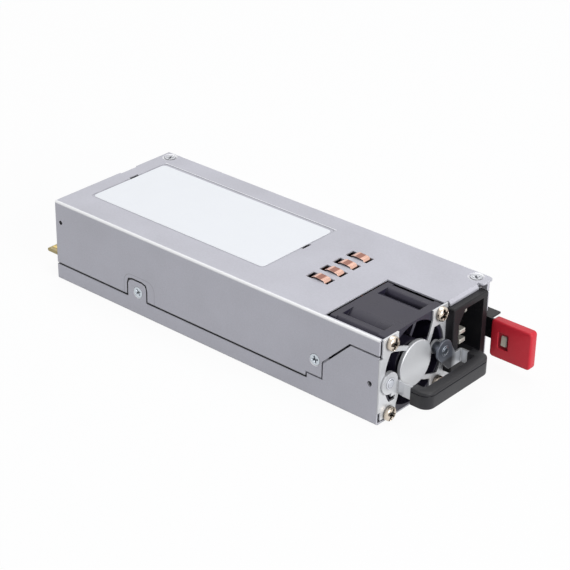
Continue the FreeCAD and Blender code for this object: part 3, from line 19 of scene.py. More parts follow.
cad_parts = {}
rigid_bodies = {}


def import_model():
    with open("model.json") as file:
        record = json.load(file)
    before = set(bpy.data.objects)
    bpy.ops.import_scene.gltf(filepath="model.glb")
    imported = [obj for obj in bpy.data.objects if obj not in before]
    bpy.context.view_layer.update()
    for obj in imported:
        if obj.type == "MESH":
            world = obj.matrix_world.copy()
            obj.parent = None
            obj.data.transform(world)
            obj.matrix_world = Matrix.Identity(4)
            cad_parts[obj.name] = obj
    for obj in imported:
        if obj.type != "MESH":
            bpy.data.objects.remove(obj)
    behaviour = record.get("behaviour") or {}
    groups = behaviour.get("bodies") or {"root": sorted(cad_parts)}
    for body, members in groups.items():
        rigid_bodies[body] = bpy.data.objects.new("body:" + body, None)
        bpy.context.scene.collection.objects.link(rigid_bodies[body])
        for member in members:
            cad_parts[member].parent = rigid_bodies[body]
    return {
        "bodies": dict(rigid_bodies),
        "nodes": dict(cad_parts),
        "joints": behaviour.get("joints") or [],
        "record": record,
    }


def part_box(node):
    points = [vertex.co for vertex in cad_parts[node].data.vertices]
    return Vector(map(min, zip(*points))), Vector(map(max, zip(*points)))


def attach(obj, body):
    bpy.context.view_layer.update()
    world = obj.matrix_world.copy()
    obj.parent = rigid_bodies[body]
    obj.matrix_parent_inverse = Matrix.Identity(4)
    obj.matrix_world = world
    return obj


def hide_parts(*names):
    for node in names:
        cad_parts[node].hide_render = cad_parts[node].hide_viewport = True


LOG = logging.getLogger("power_supply")
SKIN = 0.0001
WHITE = (1.0, 1.0, 1.0, 1.0)
GREY = (0.5, 0.5, 0.5, 1.0)
NOUGHT = (0.0, 0.0, 0.0)
FORWARDS, UPWARDS = Vector((0, -1, 0)), Vector((0, 0, 1))
Colour = tuple[float, float, float]
Place = tuple[float, float, float]
Socket = bpy.types.NodeSocket
Node = bpy.types.Node
BMesh = bmesh.types.BMesh
Loop = list[bmesh.types.BMVert]
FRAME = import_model()


# ---- node trees --------------------------------------------------------------------------
class NodeTree:
    """Thin builder around a node tree, so that each effect reads as a list of steps."""

    def __init__(self, tree: bpy.types.NodeTree) -> None:
        """Wrap a tree.

        Args:
            tree: Shader or geometry tree to add nodes to.
        """
        self.tree = tree

    @classmethod
    def fresh(cls, owner: bpy.types.Material | bpy.types.World) -> NodeTree:
        """Clear the nodes of a material or world and wrap its tree.

        Args:
            owner: The material or world.

        Returns:
            The builder of its tree.
        """
        owner.use_nodes = True
        owner.node_tree.nodes.clear()
        return cls(owner.node_tree)

    def give(self, socket: Socket, value: object) -> None:
        """Link an input to another node, or set it.

        Args:
            socket: Input of a node.
            value: Output socket or plain value.
        """
        if isinstance(value, Socket):
            self.tree.links.new(value, socket)
        else:
            socket.default_value = value

    def add(self, kind: str, inputs: dict[str | int, object] | None = None, **settings: object) -> Node:
        """Add one node, with its settings and its inputs.

        Args:
            kind: Blender's type name of the node.
            inputs: Values or output sockets by input name or index.
            settings: Properties of the node itself.

        Returns:
            The new node.
        """
        node = self.tree.nodes.new(kind)
        for name, value in settings.items():
            setattr(node, name, value)
        for key, value in (inputs or {}).items():
            self.give(node.inputs[key], value)
        return node

    def math(self, operation: str, first: object, second: object = 0.0, clamp: bool = False) -> Socket:
        """Add a math node.

        Args:
            operation: Name of the operation.
            first: First value or socket.
            second: Second value or socket.
            clamp: Whether the result stays from 0 to 1.

        Returns:
            The result's socket.
        """
        node = self.add("ShaderNodeMath", {0: first, 1: second}, operation=operation, use_clamp=clamp)
        return node.outputs[0]

    def product(self, first: object, *others: object) -> Socket:
        """Multiply masks or values.

        Args:
            first: First value or socket.
            others: The rest.

        Returns:
            The product's socket.
        """
        for other in others:
            first = self.math("MULTIPLY", first, other)
        return first

    def above(self, value: object, limit: object) -> Socket:
        """Mask where a value is greater than a limit."""
        return self.math("GREATER_THAN", value, limit)

    def below(self, value: object, limit: object) -> Socket:
        """Mask where a value is less than a limit."""
        return self.math("LESS_THAN", value, limit)

    def distance(self, value: object, centre: object) -> Socket:
        """Give how far a value is from a centre, either way."""
        return self.math("ABSOLUTE", self.math("SUBTRACT", value, centre))

    def ramp(self, value: Socket, start: float, end: float) -> Socket:
        """Give a share that goes from 0 to 1 between two values."""
        return self.add("ShaderNodeMapRange", {0: value, 1: start, 2: end}).outputs[0]

    def line(self, distance: Socket, reach: float) -> Socket:
        """Mask a line that fades out over a reach."""
        return self.math("SUBTRACT", 1.0, self.math("DIVIDE", distance, reach), clamp=True)

    def axes(self, place: Socket) -> bpy.types.NodeOutputs:
        """Split a vector into its X, Y and Z."""
        return self.add("ShaderNodeSeparateXYZ", {0: place}).outputs

    def noise(self, place: Socket, scale: object, detail: float) -> Socket:
        """Add a noise texture and give its value."""
        node = self.add("ShaderNodeTexNoise", {"Vector": place, "Scale": scale, "Detail": detail})
        return node.outputs["Fac"]

    def mix(self, factor: object, first: object, second: object) -> Socket:
        """Mix two colours.

        Args:
            factor: Share of the second colour.
            first: First colour or socket.
            second: Second colour or socket.

        Returns:
            The mixed colour's socket.
        """
        return self.add("ShaderNodeMix", {0: factor, 6: first, 7: second}, data_type="RGBA").outputs[2]


def new_input(tree: bpy.types.NodeTree, label: str, value: object) -> None:
    """Add a named input to a tree, of the kind that suits its value.

    Args:
        tree: Tree that gets the input.
        label: Name of the input.
        value: Its default, or the name of a socket type that has none.
    """
    if isinstance(value, str):
        tree.interface.new_socket(label, in_out="INPUT", socket_type=value)
        return
    if isinstance(value, tuple):
        kind = "Color" if len(value) == len(GREY) else "Vector"
    else:
        kind = "Int" if isinstance(value, int) else "Float"
    tree.interface.new_socket(label, in_out="INPUT", socket_type="NodeSocket" + kind).default_value = value


class GroupTree(NodeTree):
    """Node group with named inputs and outputs."""

    def __init__(self, name: str, inputs: dict[str, object], outputs: dict[str, str],
                 kind: str = "ShaderNodeTree") -> None:
        """Make an empty group.

        Args:
            name: Name of the group.
            inputs: Default values by name, or the names of socket types that have none.
            outputs: Kinds of the output sockets by name.
            kind: Type of the tree.
        """
        super().__init__(bpy.data.node_groups.new(name, kind))
        for label, value in inputs.items():
            new_input(self.tree, label, value)
        for label, socket in outputs.items():
            self.tree.interface.new_socket(label, in_out="OUTPUT", socket_type="NodeSocket" + socket)
        self.given = self.add("NodeGroupInput").outputs
        self.target = self.add("NodeGroupOutput").inputs

    def end(self, **results: Socket) -> bpy.types.NodeTree:
        """Join results to the outputs.

        Args:
            results: Sockets by output name.

        Returns:
            The finished group.
        """
        for label, socket in results.items():
            self.tree.links.new(socket, self.target[label])
        return self.tree

    def overlay(self, share: Socket, tint: str, **results: Socket) -> bpy.types.NodeTree:
        """Lay a tint over the base colour and finish the group.

        Args:
            share: How strongly the effect shows, before its amount.
            tint: Name of the input that holds the tint.
            results: Further results by output name.

        Returns:
            The finished group.
        """
        mask = self.math("MULTIPLY", share, self.given["Amount"], clamp=True)
        return self.end(Color=self.mix(mask, self.given["Base"], self.given[tint]), **results)


class ShaderGroups:
    """Effects that more than one finish uses, each built once."""

    broad_share: float = 0.03
    rough_share: float = 0.25
    edge_gain: float = 9.0
    patch_grain: float = 420.0
    cloud_grain: float = 90.0
    crevice_gain: float = 1.7
    bend_highlight_gain: float = 2.4
    samples: int = 6

    def __init__(self) -> None:
        """Build every group."""
        self.grain = self._grain()
        # Edge wear, partly a painted highlight on the edges.
        self.wear_and_highlight = self._wear_and_highlight()
        self.dust = self._dust()
        self.crevice = self._crevice()
        # Painted highlight on the outside of bends.
        self.bend = self._painted_bend_highlight()

    def _grain(self) -> bpy.types.NodeTree:
        """Build the group that varies colour, roughness and height over a surface.

        Returns:
            The group.
        """
        group = GroupTree("surface_grain",
                          {"Vector": NOUGHT, "Base": GREY, "Size": 1000.0, "Stretch": (1.0, 1.0, 1.0),
                           "Variation": 0.1, "Roughness": 0.5},
                          {"Color": "Color", "Roughness": "Float", "Height": "Float"})
        given = group.given
        mapped = group.add("ShaderNodeVectorMath", {0: given["Vector"], 1: given["Stretch"]},
                           operation="MULTIPLY")
        fine = group.noise(mapped.outputs[0], given["Size"], 3.0)
        broad = group.noise(given["Vector"], group.product(given["Size"], self.broad_share), 2.0)
        centred = group.math("SUBTRACT", group.math("ADD", fine, broad), 1.0)
        gain = group.math("ADD", group.product(centred, given["Variation"]), 1.0)
        colour = group.add("ShaderNodeVectorMath", {0: given["Base"], "Scale": gain}, operation="SCALE")
        rough = group.math("ADD", given["Roughness"], group.product(centred, self.rough_share), clamp=True)
        return group.end(Color=colour.outputs[0], Roughness=rough, Height=fine)

    def _wear_and_highlight(self) -> bpy.types.NodeTree:
        """Build the group that lightens edges, partly as rubbed wear and partly as a painted highlight, and
        rounds them in the shading.

        Returns:
            The group.
        """
        group = GroupTree("edge_wear_and_highlight",
                          {"Vector": NOUGHT, "Base": GREY, "WornAndHighlight": (0.8, 0.8, 0.8, 1.0), "Amount": 0.5,
                           "Radius": 0.0003},
                          {"Color": "Color", "Normal": "Vector"})
        bevel = group.add("ShaderNodeBevel", {"Radius": group.given["Radius"]}, samples=self.samples)
        rounded = bevel.outputs[0]
        plain = group.add("ShaderNodeNewGeometry").outputs["Normal"]
        along = group.add("ShaderNodeVectorMath", {0: rounded, 1: plain}, operation="DOT_PRODUCT")
        edge = group.math("SUBTRACT", 1.0, along.outputs["Value"])
        strong = group.math("MULTIPLY", edge, self.edge_gain, clamp=True)
        patches = group.noise(group.given["Vector"], self.patch_grain, 4.0)
        return group.overlay(group.product(strong, patches), "WornAndHighlight", Normal=rounded)

    def _dust(self) -> bpy.types.NodeTree:
        """Build the group that lays a thin film of dust on faces that look up.

        Returns:
            The group.
        """
        group = GroupTree("settled_dust",
                          {"Vector": NOUGHT, "Base": GREY, "Dust": (0.5, 0.48, 0.45, 1.0), "Amount": 0.1},
                          {"Color": "Color"})
        normal = group.axes(group.add("ShaderNodeNewGeometry").outputs["Normal"])
        clouds = group.noise(group.given["Vector"], self.cloud_grain, 5.0)
        return group.overlay(group.product(group.math("MAXIMUM", normal["Z"], 0.0), clouds), "Dust")

    def _crevice(self) -> bpy.types.NodeTree:
        """Build the group that paints shade into slots, seams and inner corners, from ambient occlusion.

        Returns:
            The group.
        """
        group = GroupTree("painted_crevice_shade",
                          {"Base": GREY, "Shade": (0.02, 0.02, 0.025, 1.0), "Reach": 0.0015, "Amount": 0.7},
                          {"Color": "Color"})
        open_sky = group.add("ShaderNodeAmbientOcclusion", {"Distance": group.given["Reach"]},
                             samples=self.samples)
        closed = group.math("SUBTRACT", 1.0, open_sky.outputs["AO"])
        return group.overlay(group.math("MULTIPLY", closed, self.crevice_gain, clamp=True), "Shade")

    def _painted_bend_highlight(self) -> bpy.types.NodeTree:
        """Build the group that paints a highlight on the outside of bends between wall and roof.

        Returns:
            The group.
        """
        group = GroupTree("painted_bend_highlight", {"Base": GREY, "Highlight": WHITE, "Amount": 0.5},
                          {"Color": "Color"})
        normal = group.axes(group.add("ShaderNodeNewGeometry").outputs["True Normal"])
        slope = group.product(group.math("ABSOLUTE", normal["X"]), normal["Z"])
        upper = group.math("MAXIMUM", slope, 0.0)
        return group.overlay(group.math("MULTIPLY", upper, self.bend_highlight_gain, clamp=True), "Highlight")


# ---- finishes ----------------------------------------------------------------------------
class Stretch(Enum):
    """Direction that the grain of a surface is drawn out in, as factors of X, Y and Z."""

    EVEN = (1.0, 1.0, 1.0)
    ALONG_CASE = (1.0, 0.08, 1.0)


@dataclass(frozen=True)
class Finish:
    """Finish of one surface: its colour, gloss, grain, and edge wear that is partly a painted highlight.

    Colours are linear. Grain is per metre, and bump is the height of the grain in metres.
    """

    name: str
    colour: Colour
    roughness: float
    metallic: float = 0.0
    grain: float = 1500.0
    stretch: Stretch = Stretch.EVEN
    variation: float = 0.12
    bump: float = 0.00002
    # Colour and amount of edge lightening: partly rubbed wear, partly a painted highlight.
    worn_and_highlight: Colour = (0.75, 0.75, 0.76)
    wear_and_highlight: float = 0.3
    edge: float = 0.0002
    dust: float = 0.05
    coat: float = 0.0
    coat_roughness: float = 0.2
    specular: float = 0.5
    # Strength and reach of the painted shade in slots, seams and inner corners.
    crevice: float = 0.6
    crevice_reach: float = 0.0015
    # Strength of the painted highlight on the outside of bends.
    bend: float = 0.0

    def material(self, groups: ShaderGroups) -> bpy.types.Material:
        """Build the finish's material.

        Args:
            groups: Shared effects.

        Returns:
            The material.
        """
        material = bpy.data.materials.new(self.name)
        builder = NodeTree.fresh(material)
        place = builder.add("ShaderNodeTexCoord").outputs["Object"]
        grain = builder.add("ShaderNodeGroup", {
            "Vector": place, "Base": (*self.colour, 1), "Size": self.grain, "Stretch": self.stretch.value,
            "Variation": self.variation, "Roughness": self.roughness}, node_tree=groups.grain).outputs
        colour = self.tint(builder, place, grain["Color"])
        effects = (
            (groups.dust, {"Vector": place, "Amount": self.dust}),
            # Painted shade in crevices.
            (groups.crevice, {"Reach": self.crevice_reach, "Amount": self.crevice}),
            # Painted highlight on bends.
            (groups.bend, {"Amount": self.bend}),
            # Edge wear with a painted highlight.
            (groups.wear_and_highlight, {"Vector": place, "WornAndHighlight": (*self.worn_and_highlight, 1), "Amount": self.wear_and_highlight,
                           "Radius": self.edge}))
        for group, inputs in effects:
            shown = builder.add("ShaderNodeGroup", {"Base": colour, **inputs}, node_tree=group).outputs
            colour = shown["Color"]
        bump = builder.add("ShaderNodeBump", {"Height": grain["Height"], "Normal": shown["Normal"],
                                              "Distance": self.bump, "Strength": 1.0})
        surface = builder.add("ShaderNodeBsdfPrincipled", {
            "Base Color": colour, "Roughness": grain["Roughness"], "Metallic": self.metallic,
            "Coat Weight": self.coat, "Coat Roughness": self.coat_roughness,
            "Specular IOR Level": self.specular, "Normal": bump.outputs[0]})
        builder.add("ShaderNodeOutputMaterial", {"Surface": surface.outputs[0]})
        return material

    def tint(self, builder: NodeTree, place: Socket, colour: Socket) -> Socket:
        """Give the colour unchanged; finishes with markings of their own draw them here."""
        return colour


@dataclass(frozen=True)
class SheetFinish(Finish):
    """Galvanised sheet, with painted shade on the inside of the case, round its pressed tabs and along its
    long seams, and a painted highlight on the lip of the label's recess.
    """

    # Colour of the painted shade inside the case, round the pressed tabs and along the long seams.
    painted_shade: Colour = (0.030, 0.030, 0.034)
    skin: Place = (0.00015, 0.0006, 0.0006)
    lap_height: float = 0.0088
    lap_end: float = -0.055
    lap_share: float = 0.12
    # Placing and strength of the painted shade round the pressed tab of each side wall.
    press_centre: tuple[float, float] = (0.0400, 0.0080)
    press_half: tuple[float, float] = (0.0092, 0.0108)
    press_radius: float = 0.0045
    press_line: float = 0.00030
    press_share: float = 0.30
    press_floor: float = 0.0085
    # Colour and placing of the painted highlight on the lip of the label's recess.
    lip_highlight: Colour = (0.90, 0.90, 0.94)
    lip_start: float = 0.0016
    lip_width: float = 0.00045
    # Placing and strength of the painted shade along the long seam of each side wall.
    seam_middle: float = 0.0081
    seam_reach: float = 0.00085
    seam_share: float = 0.75
    tab_middle: float = 0.0412
    tab_half: float = 0.0062

    def tint(self, builder: NodeTree, place: Socket, colour: Socket) -> Socket:
        """Paint shade on what lies under the outer skin, round the pressed tabs and along the long seams, and
        paint a highlight on the recess's lip.

        Args:
            builder: Builder of the material.
            place: Object coordinates.
            colour: Colour of the sheet.

        Returns:
            The colour with every painted shade and highlight.
        """
        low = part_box("base_tray")[0]
        high = (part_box("base_tray")[1][0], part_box("rear_panel")[1][1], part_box("top_cover")[1][2])
        axes = builder.axes(place)
        # Painted shade on every face under the outer skin, inside the case.
        inside = 1.0
        for axis, least, most, skin in zip("XYZ", low, high, self.skin):
            inside = builder.product(inside, builder.above(axes[axis], least + skin),
                                     builder.below(axes[axis], most - skin))
        lap = builder.product(builder.above(axes["Z"], self.lap_height),
                              builder.below(axes["Y"], self.lap_end))
        share = builder.math("SUBTRACT", 1.0, builder.product(lap, 1.0 - self.lap_share))
        wall = builder.above(builder.math("ABSOLUTE", axes["X"]), high[0] - SKIN)
        # Painted shade: inside the case, round the pressed tabs and along the long seams.
        masks = (builder.product(inside, share), self._painted_press_shade(builder, axes, wall),
                 self._painted_seam_shade(builder, axes, wall))
        for mask in masks:
            colour = builder.mix(mask, colour, (*self.painted_shade, 1))
        # Painted highlight on the lip of the label's recess.
        return builder.mix(self._painted_lip_highlight(builder, axes, high[2]), colour, (*self.lip_highlight, 1))

    def _painted_lip_highlight(self, builder: NodeTree, axes: bpy.types.NodeOutputs, roof: float) -> Socket:
        """Mask the painted highlight on the lip that runs along the right side of the label's recess.

        Args:
            builder: Builder of the material.
            axes: X, Y and Z of the object coordinates.
            roof: Height of the roof.

        Returns:
            The mask.
        """
        low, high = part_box("rating_label")
        middle = high[0] + self.lip_start + self.lip_width / 2
        length = high[1] - low[1] + self.lip_start
        near = builder.below(builder.distance(axes["X"], middle), self.lip_width / 2)
        beside = builder.below(builder.distance(axes["Y"], (low[1] + high[1]) / 2), length / 2)
        return builder.product(near, beside, builder.above(axes["Z"], roof - SKIN))

    def _painted_seam_shade(self, builder: NodeTree, axes: bpy.types.NodeOutputs, wall: Socket) -> Socket:
        """Mask the painted shade on the rolled edges along the long seam of each side wall.

        Args:
            builder: Builder of the material.
            axes: X, Y and Z of the object coordinates.
            wall: Mask of the side walls.

        Returns:
            The mask.
        """
        near = builder.line(builder.distance(axes["Z"], self.seam_middle), self.seam_reach)
        behind = builder.above(axes["Y"], self.lap_end)
        beside = builder.above(builder.distance(axes["Y"], self.tab_middle), self.tab_half)
        return builder.product(near, wall, behind, beside, self.seam_share)

    def _painted_press_shade(self, builder: NodeTree, axes: bpy.types.NodeOutputs, wall: Socket) -> Socket:
        """Mask the painted shade on a thin rounded outline round the screwed tab of each side wall.

        Args:
            builder: Builder of the material.
            axes: X, Y and Z of the object coordinates.
            wall: Mask of the side walls.

        Returns:
            The mask.
        """
        over = [builder.math("SUBTRACT", builder.distance(axes[axis], centre), half - self.press_radius)
                for axis, centre, half in zip("YZ", self.press_centre, self.press_half)]
        outer = [builder.math("MAXIMUM", value, 0.0) for value in over]
        reach = builder.math("SQRT", builder.math("ADD", *(builder.product(value, value) for value in outer)))
        inner = builder.math("MINIMUM", builder.math("MAXIMUM", *over), 0.0)
        off_line = builder.distance(builder.math("ADD", reach, inner), self.press_radius)
        upper = builder.above(axes["Z"], self.press_floor)
        return builder.product(builder.line(off_line, self.press_line), wall, upper, self.press_share)


@dataclass(frozen=True)
class StrapFinish(Finish):
    """Blued steel with a painted highlight along the folded arm of the strap and painted shade on the lug
    below its rivet.
    """

    # Colour of the painted highlight on the folded arm.
    painted_arm_highlight: Colour = (0.66, 0.68, 0.71)
    bright_from: float = 0.0040
    bright_to: float = 0.0075
    # Colour and reach of the painted shade on the lug below the rivet.
    painted_lug_shade: Colour = (0.035, 0.037, 0.044)
    shade_start: float = -0.0024
    shade_end: float = -0.0036

    def tint(self, builder: NodeTree, place: Socket, colour: Socket) -> Socket:
        """Paint a highlight on the folded arm and shade on the lug below its rivet.

        Args:
            builder: Builder of the material.
            place: Object coordinates.
            colour: Colour of the blued part.

        Returns:
            The colour with the painted highlight and the painted shade.
        """
        axes = builder.axes(place)
        low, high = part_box("handle_rivets")
        rivet = (low[2] + high[2]) / 2
        # Painted shade on the lug below the rivet.
        painted_lug_shade = builder.ramp(axes["Z"], rivet + self.shade_start, rivet + self.shade_end)
        shaded = builder.mix(painted_lug_shade, colour, (*self.painted_lug_shade, 1))
        # Painted highlight along the folded arm.
        share = builder.ramp(axes["X"], self.bright_from, self.bright_to)
        return builder.mix(share, shaded, (*self.painted_arm_highlight, 1))


@dataclass(frozen=True)
class FingerFinish(Finish):
    """Copper with a painted darker reflection on the bent crown, between its rising and falling ends."""

    # Colour of the painted darker reflection on the crown.
    crown: Colour = (0.36, 0.165, 0.125)
    crown_start: float = 0.30
    crown_end: float = 0.72
    crown_blend: float = 0.05

    def tint(self, builder: NodeTree, place: Socket, colour: Socket) -> Socket:
        """Paint a darker reflection on the crown of the fingers.

        Args:
            builder: Builder of the material.
            place: Object coordinates.
            colour: Colour of the bright copper.

        Returns:
            The colour with the painted darker reflection on the crown.
        """
        low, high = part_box("spring_fingers")
        length = high[1] - low[1]
        along = builder.axes(place)["Y"]
        rise, fall = low[1] + self.crown_start * length, low[1] + self.crown_end * length
        blend = self.crown_blend * length
        # Painted darker reflection on the crown.
        share = builder.product(builder.ramp(along, rise, rise + blend),
                                builder.ramp(along, fall, fall - blend))
        return builder.mix(share, colour, (*self.crown, 1))


@dataclass(frozen=True)
class CardFinish(Finish):
    """Green board whose edge that stands out of the case is bare and honey-coloured."""

    honey: Colour = (0.58, 0.46, 0.18)
    edge_start: float = 0.0927

    def tint(self, builder: NodeTree, place: Socket, colour: Socket) -> Socket:
        """Colour the part of the card beyond the rear wall."""
        return builder.mix(builder.above(builder.axes(place)["Y"], self.edge_start), colour, (*self.honey, 1))


ZINC_SHEET = SheetFinish("zinc_sheet", (0.548, 0.546, 0.60), 0.48, 0.2, variation=0.22, bump=0.00001,
                         wear_and_highlight=0.5, edge=0.0003, crevice=0.35, crevice_reach=0.0010, bend=1.0)
PLATE_STEEL = Finish("plate_steel", (0.70, 0.71, 0.73), 0.38, 0.45, 1600.0, variation=0.10, bump=0.000008,
                     wear_and_highlight=0.6, worn_and_highlight=(0.9, 0.9, 0.9), crevice_reach=0.0009)
DARK_STEEL = StrapFinish("dark_steel", (0.15, 0.165, 0.20), 0.34, 0.75, 1200.0, variation=0.2, bump=0.00001,
                         wear_and_highlight=0.35, worn_and_highlight=(0.85, 0.87, 0.9), edge=0.0003)
SPRING_STEEL = Finish("spring_steel", (0.016, 0.016, 0.018), 0.38, 0.3, wear_and_highlight=0.12, worn_and_highlight=(0.3, 0.3, 0.32),
                      specular=0.3)
SCREW_NICKEL = Finish("screw_nickel", (0.66, 0.58, 0.49), 0.24, 1.0, 2500.0, variation=0.15, bump=0.00001,
                      wear_and_highlight=0.2, crevice=1.0, crevice_reach=0.0018)
CASE_SCREW = Finish("case_screw", (0.62, 0.67, 0.72), 0.30, 0.8, 2500.0, bump=0.00001, wear_and_highlight=0.2, crevice=0.95,
                    crevice_reach=0.0007)
ROOF_SCREW = Finish("roof_screw", (0.60, 0.61, 0.64), 0.42, 0.6, 2500.0, bump=0.00001, wear_and_highlight=0.2, crevice=0.95,
                    crevice_reach=0.0007)
BRIGHT_RIVET = Finish("bright_rivet", (0.80, 0.82, 0.88), 0.34, 0.6, 2500.0, variation=0.08, bump=0.000006,
                      crevice=0.8, crevice_reach=0.0006)
DARK_RIVET = Finish("dark_rivet", (0.22, 0.25, 0.30), 0.26, 0.9, 2500.0, variation=0.15, bump=0.000006,
                    wear_and_highlight=0.8, crevice=0.8, crevice_reach=0.0006)
LABEL_PAPER = Finish("label_paper", (0.955, 0.975, 1.0), 0.55, 0.0, 2500.0, variation=0.03, bump=0.000004,
                     wear_and_highlight=0.0, dust=0.0, crevice=0.1)
COPPER = FingerFinish("copper", (0.80, 0.50, 0.40), 0.22, 1.0, 1400.0, Stretch.ALONG_CASE, bump=0.000006,
                      worn_and_highlight=(0.98, 0.86, 0.78), wear_and_highlight=0.7)
GOLD = Finish("gold", (0.83, 0.62, 0.22), 0.25, 1.0, 1500.0, Stretch.ALONG_CASE, 0.1, 0.000004,
              worn_and_highlight=(0.9, 0.8, 0.5))
BLACK_PLASTIC = Finish("black_plastic", (0.011, 0.011, 0.013), 0.42, 0.0, 2600.0, variation=0.25, wear_and_highlight=0.12,
                       worn_and_highlight=(0.12, 0.12, 0.13), dust=0.03, specular=0.2)
FAN_PLASTIC = Finish("fan_plastic", (0.021, 0.018, 0.036), 0.33, 0.0, 2600.0, variation=0.25, wear_and_highlight=0.12,
                     worn_and_highlight=(0.12, 0.12, 0.14), dust=0.03, specular=0.35)
GRIP_PLASTIC = Finish("grip_plastic", (0.018, 0.018, 0.021), 0.38, 0.0, 2800.0, variation=0.2, bump=0.00003,
                      wear_and_highlight=0.15, worn_and_highlight=(0.12, 0.12, 0.13), dust=0.03, specular=0.35)
RED_PLASTIC = Finish("red_plastic", (0.64, 0.022, 0.040), 0.42, 0.0, 2600.0, variation=0.08, wear_and_highlight=0.5,
                     worn_and_highlight=(0.85, 0.16, 0.22), dust=0.02, specular=0.35)
PALE_PLASTIC = Finish("pale_plastic", (0.62, 0.58, 0.48), 0.45, 0.0, 2600.0, variation=0.08, bump=0.00001,
                      wear_and_highlight=0.2, dust=0.02)
BOARD_GREEN = CardFinish("board_green", (0.012, 0.10, 0.045), 0.35, 0.0, 900.0, variation=0.3, bump=0.00001,
                         coat=0.3)
FILM = Finish("film", (0.75, 0.74, 0.62), 0.3, 0.0, 600.0, variation=0.05)
CAN_SLEEVE = Finish("can_sleeve", (0.02, 0.022, 0.045), 0.3, 0.0, 700.0, variation=0.1, coat=0.4)
FERRITE = Finish("ferrite", (0.03, 0.03, 0.034), 0.5, 0.0, 2600.0, variation=0.3)
WINDING_TAPE = Finish("winding_tape", (0.66, 0.46, 0.05), 0.35, 0.0, 500.0, Stretch.ALONG_CASE, 0.15,
                      coat=0.3)
ENAMEL_WIRE = Finish("enamel_wire", (0.45, 0.14, 0.05), 0.3, 0.6, 1200.0, variation=0.2, coat=0.4)
ALUMINIUM = Finish("aluminium", (0.72, 0.73, 0.75), 0.35, 1.0, 900.0, Stretch.ALONG_CASE)
FILTER_BOX = Finish("filter_box", (0.70, 0.52, 0.06), 0.35, 0.0, 900.0, variation=0.08)
VARISTOR_BLUE = Finish("varistor_blue", (0.03, 0.10, 0.34), 0.3, 0.0, 800.0, variation=0.1, coat=0.3)
TIN = Finish("tin", (0.66, 0.64, 0.58), 0.45, 0.6, 1800.0)

NODE_FINISHES: dict[Finish, tuple[str, ...]] = {
    ZINC_SHEET: ("base_tray", "top_cover", "rear_panel"),
    PLATE_STEEL: ("face_plate", "left_handle_bracket", "handle_rivets"),
    DARK_STEEL: ("right_handle_bracket", "handle_standoff"),
    SPRING_STEEL: ("latch_foot", "latch_strip"),
    SCREW_NICKEL: ("side_screws", "top_screws", "fan_screws", "board_screws", "latch_rivets",
                   "board_standoffs", "rotor_shaft", "fan_bearings"),
    LABEL_PAPER: ("rating_label",),
    COPPER: ("spring_fingers", "bus_bars"),
    GOLD: ("edge_contacts",),
    BLACK_PLASTIC: ("inlet_housing", "power_transistors", "bridge_rectifier", "relay"),
    FAN_PLASTIC: ("fan_frame", "fan_rotor"),
    GRIP_PLASTIC: ("handle_grip",),
    RED_PLASTIC: ("latch_tab",),
    BOARD_GREEN: ("main_board", "inlet_board", "output_board", "control_board"),
    FILM: ("insulation_sheet",),
    CAN_SLEEVE: ("bulk_capacitor", "output_capacitors"),
    FERRITE: ("transformer_core",),
    WINDING_TAPE: ("transformer_winding",),
    ENAMEL_WIRE: ("filter_choke", "boost_choke", "fan_stator"),
    ALUMINIUM: ("primary_heatsink", "output_heatsink"),
    FILTER_BOX: ("x_capacitor",),
    VARISTOR_BLUE: ("varistor",),
    TIN: ("inlet_pins", "input_fuse"),
}


class Workshop:
    """Everything the sub-assemblies share: the frame, the effects and the materials made so far."""

    def __init__(self, frame: dict) -> None:
        """Set up the shared effects.
        """
        self.frame = frame
        self.groups = ShaderGroups()
        self._materials: dict[str, bpy.types.Material] = {}

    def material(self, finish: Finish) -> bpy.types.Material:
        """Give a finish's material, built on first use.

        Args:
            finish: The finish.

        Returns:
            Its material.
        """
        if finish.name not in self._materials:
            self._materials[finish.name] = finish.material(self.groups)
        return self._materials[finish.name]

    def dress_nodes(self) -> None:
        """Put a finish on every CAD node."""
        for finish, nodes in NODE_FINISHES.items():
            for name in nodes:
                node = self.frame["nodes"][name]
                node.data.materials.clear()
                node.data.materials.append(self.material(finish))
                LOG.info("dressed %s in %s", name, finish.name)

    def place(self, piece: bpy.types.Object, body: str, slot: str, *nodes: str) -> None:
        """Make a finished piece ride on a body, in place of CAD nodes.

        Args:
            piece: Finished object, in place.
            body: Body it moves with.
            slot: Material slot of the record; not used.
            nodes: CAD nodes that it stands for.
        """
        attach(piece, body)
        if nodes:
            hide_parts(*nodes)
        LOG.info("placed %s on %s, %d faces", piece.name, body, len(piece.data.polygons))


def linked(name: str, data: bpy.types.ID) -> bpy.types.Object:
    """Make an object at the origin and link it to the scene.

    Args:
        name: Name of the object.
        data: Its mesh, lamp or camera.

    Returns:
        The object.
    """
    item = bpy.data.objects.new(name, data)
    bpy.context.scene.collection.objects.link(item)
    return item


